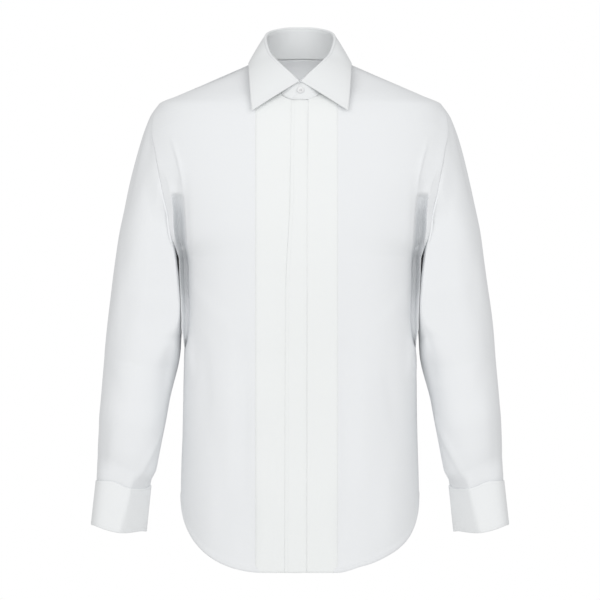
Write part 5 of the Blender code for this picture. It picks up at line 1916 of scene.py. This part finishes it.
def button_axes():
    """The way the button faces, and its upward and sideways directions."""
    points, _ = band_shape("left")
    row = points[BUTTON_ROW]
    near = int(np.argmin(np.abs(row[:, 0] - BUTTON_ACROSS)))
    up = points[-1, near] - points[0, near]
    up /= np.linalg.norm(up)
    face = np.cross(row[near + 1] - row[near - 1], up)
    face /= np.linalg.norm(face)
    return face, up, np.cross(up, face)


def lathe(profile, turns):
    """Rings of points round an axis from (radius, rise) pairs."""
    turn = 2 * math.pi * np.arange(turns) / turns
    profile = np.array(profile)
    return np.stack((
        profile[:, :1] * np.cos(turn), profile[:, :1] * np.sin(turn),
        np.repeat(profile[:, 1:], turns, axis=1)), axis=-1)


def button_profile():
    """The dished button's outline, from the middle of its back round to the middle of its face."""
    half = BUTTON_THICK / 2
    edge, rim = BUTTON_BASE_EDGE, BUTTON_RIM
    dish = half - BUTTON_DISH
    profile = [(BUTTON_CENTRE, -half), (BUTTON_RADIUS - edge, -half)]
    profile += [(BUTTON_RADIUS - edge + edge * math.sin(a), -half + edge * (1 - math.cos(a)))
                for a in np.linspace(*BUTTON_BASE_TURN)]
    profile += [(BUTTON_RADIUS - rim + rim * math.cos(a), half - rim + rim * math.sin(a))
                for a in np.linspace(*BUTTON_RIM_TURN)]
    slope_from, slope_to = BUTTON_SLOPE_IN
    return profile + [
        (BUTTON_RADIUS - slope_from, half - rim), (BUTTON_RADIUS - slope_to, dish), (BUTTON_CENTRE, dish)]


def cut_hole(made, place, face):
    """Cuts one sewn hole through the button."""
    bpy.ops.mesh.primitive_cylinder_add(
        vertices=BUTTON_HOLE_SIDES, radius=BUTTON_HOLE_RADIUS, depth=BUTTON_CUTTER_LENGTH,
        location=place)
    cutter = bpy.context.object
    cutter.rotation_mode = "QUATERNION"
    cutter.rotation_quaternion = Vector(face).to_track_quat("Z", "Y")
    cut = made.modifiers.new("hole", "BOOLEAN")
    cut.object = cutter
    cut.solver = "EXACT"
    with bpy.context.temp_override(object=made, active_object=made, selected_objects=[made]):
        bpy.ops.object.modifier_apply(modifier=cut.name)
    bpy.data.objects.remove(cutter, do_unlink=True)


def make_button():
    """A dished button with four sewn holes and crossed thread."""
    low, high = (np.array(corner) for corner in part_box("collar_button"))
    face, up, across = button_axes()
    profile = button_profile()
    rings = lathe(profile, BUTTON_SIDES)
    squares, ring_rows, ring_columns = wall_faces(len(profile), BUTTON_SIDES, True)
    centre = (low + high) / 2
    world = centre + rings.reshape(-1, 3) @ np.array((across, up, face))
    uvs = np.stack((ring_columns * BUTTON_COORDINATE, ring_rows * BUTTON_COORDINATE), axis=-1)
    ends = []
    for base, turn in ((0, -1), ((len(profile) - 1) * BUTTON_SIDES, 1)):
        ends += [square[::turn] for square in end_squares(base + np.arange(BUTTON_SIDES))]
    ends = np.array(ends)
    made = make_mesh("collar_button_shell", world, np.concatenate((squares, ends)),
                     np.concatenate((uvs, np.zeros((len(ends), 4, 2)))), finish("button"))
    for right, high_up in ((1, 1), (1, -1), (-1, 1), (-1, -1)):
        cut_hole(made, centre + BUTTON_HOLE_APART * (across * right + up * high_up), face)
    stand_for(made, "collar_button")
    rim = centre + face * (BUTTON_THICK / 2 - BUTTON_RIM)
    lifts = np.repeat(face[None], BUTTON_THREAD_POINTS, axis=0)
    runs = []
    for right in (1, -1):
        reach = BUTTON_THREAD_REACH * BUTTON_HOLE_APART * (across * right + up)
        runs.append((rim + reach * np.linspace(-1, 1, BUTTON_THREAD_POINTS)[:, None], lifts))
    make_stitches("button_thread", runs)


class SHIRT_OT_stage(Operator):
    """Makes the floor, the lights and the camera"""

    bl_idname = "shirt.stage"
    bl_label = "Stage"

    def execute(self, context):
        make_floor()
        make_world(context.scene)
        for name, light in LIGHTS.items():
            make_light(name, *light)
        make_camera(context.scene)
        return {"FINISHED"}


def make_floor():
    """A round floor well below the shirt."""
    mesh = bpy.data.meshes.new("floor")
    ring = lathe([(FLOOR_RADIUS, FLOOR_LEVEL)], FLOOR_SIDES)[0]
    mesh.from_pydata([tuple(point) for point in ring.tolist()], [], [tuple(range(FLOOR_SIDES))])
    mesh.materials.append(finish("floor"))
    floor = bpy.data.objects.new("floor", mesh)
    bpy.context.scene.collection.objects.link(floor)


def make_world(scene):
    """Soft white light all round, behind a plain white backdrop that only the camera sees."""
    world = bpy.data.worlds.new("studio")
    world.use_nodes = True
    nodes, links = world.node_tree.nodes, world.node_tree.links
    room, backdrop = nodes["Background"], nodes.new("ShaderNodeBackground")
    for shader, strength in ((room, ROOM_LIGHT), (backdrop, 1.0)):
        shader.inputs["Color"].default_value = (1.0, 1.0, 1.0, 1.0)
        shader.inputs["Strength"].default_value = strength
    ray = nodes.new("ShaderNodeLightPath")
    choice = nodes.new("ShaderNodeMixShader")
    sources = (ray.outputs["Is Camera Ray"], room.outputs[0], backdrop.outputs[0])
    for k, source in enumerate(sources):
        links.new(source, choice.inputs[k])
    links.new(choice.outputs[0], nodes["World Output"].inputs["Surface"])
    scene.world = world
    scene.view_settings.view_transform = "Standard"


def make_light(name, place, target, size, watts):
    """A round soft light aimed at a target."""
    data = bpy.data.lights.new(name, "AREA")
    data.shape = "DISK"
    data.size = size
    data.energy = watts
    light = bpy.data.objects.new(name, data)
    light.location = place
    aim = np.array(target) - np.array(place)
    light.rotation_mode = "QUATERNION"
    light.rotation_quaternion = Vector(aim).to_track_quat("-Z", "Y")
    bpy.context.scene.collection.objects.link(light)


def make_camera(scene):
    """A long lens straight in front of the shirt."""
    data = bpy.data.cameras.new("camera")
    data.sensor_width = SENSOR_WIDTH
    data.lens = SENSOR_WIDTH * CAMERA_DISTANCE / VIEW_WIDTH
    camera = bpy.data.objects.new("camera", data)
    camera.location = (0.0, -CAMERA_DISTANCE, VIEW_MIDDLE)
    camera.rotation_euler = (math.pi / 2, 0.0, 0.0)
    scene.collection.objects.link(camera)
    scene.camera = camera


OPERATORS = (
    SHIRT_OT_fronts, SHIRT_OT_placket, SHIRT_OT_back, SHIRT_OT_sleeves, SHIRT_OT_cuffs,
    SHIRT_OT_collar, SHIRT_OT_button, SHIRT_OT_stage,
)


class SHIRT_PT_panel(Panel):
    """Lists the shirt's sizes, colours and pieces"""

    bl_idname = "SHIRT_PT_panel"
    bl_label = "Dress shirt"
    bl_space_type = "VIEW_3D"
    bl_region_type = "UI"
    bl_category = "Shirt"

    def draw(self, context):
        for group in (context.scene.shirt_sizes, context.scene.shirt_colours):
            for name in group.__annotations__:
                self.layout.prop(group, name)
        for operator in OPERATORS:
            self.layout.operator(operator.bl_idname)


CLASSES = (ShirtSizes, ShirtColours, *OPERATORS, SHIRT_PT_panel)


def register():
    for item in CLASSES:
        bpy.utils.register_class(item)
    bpy.types.Scene.shirt_sizes = PointerProperty(type=ShirtSizes)
    bpy.types.Scene.shirt_colours = PointerProperty(type=ShirtColours)


def unregister():
    del bpy.types.Scene.shirt_colours
    del bpy.types.Scene.shirt_sizes
    for item in reversed(CLASSES):
        bpy.utils.unregister_class(item)


def main():
    """Makes every piece and the stage."""
    register()
    for operator in OPERATORS:
        group, name = operator.bl_idname.split(".")
        getattr(getattr(bpy.ops, group), name)()


if __name__ == "__main__":
    main()
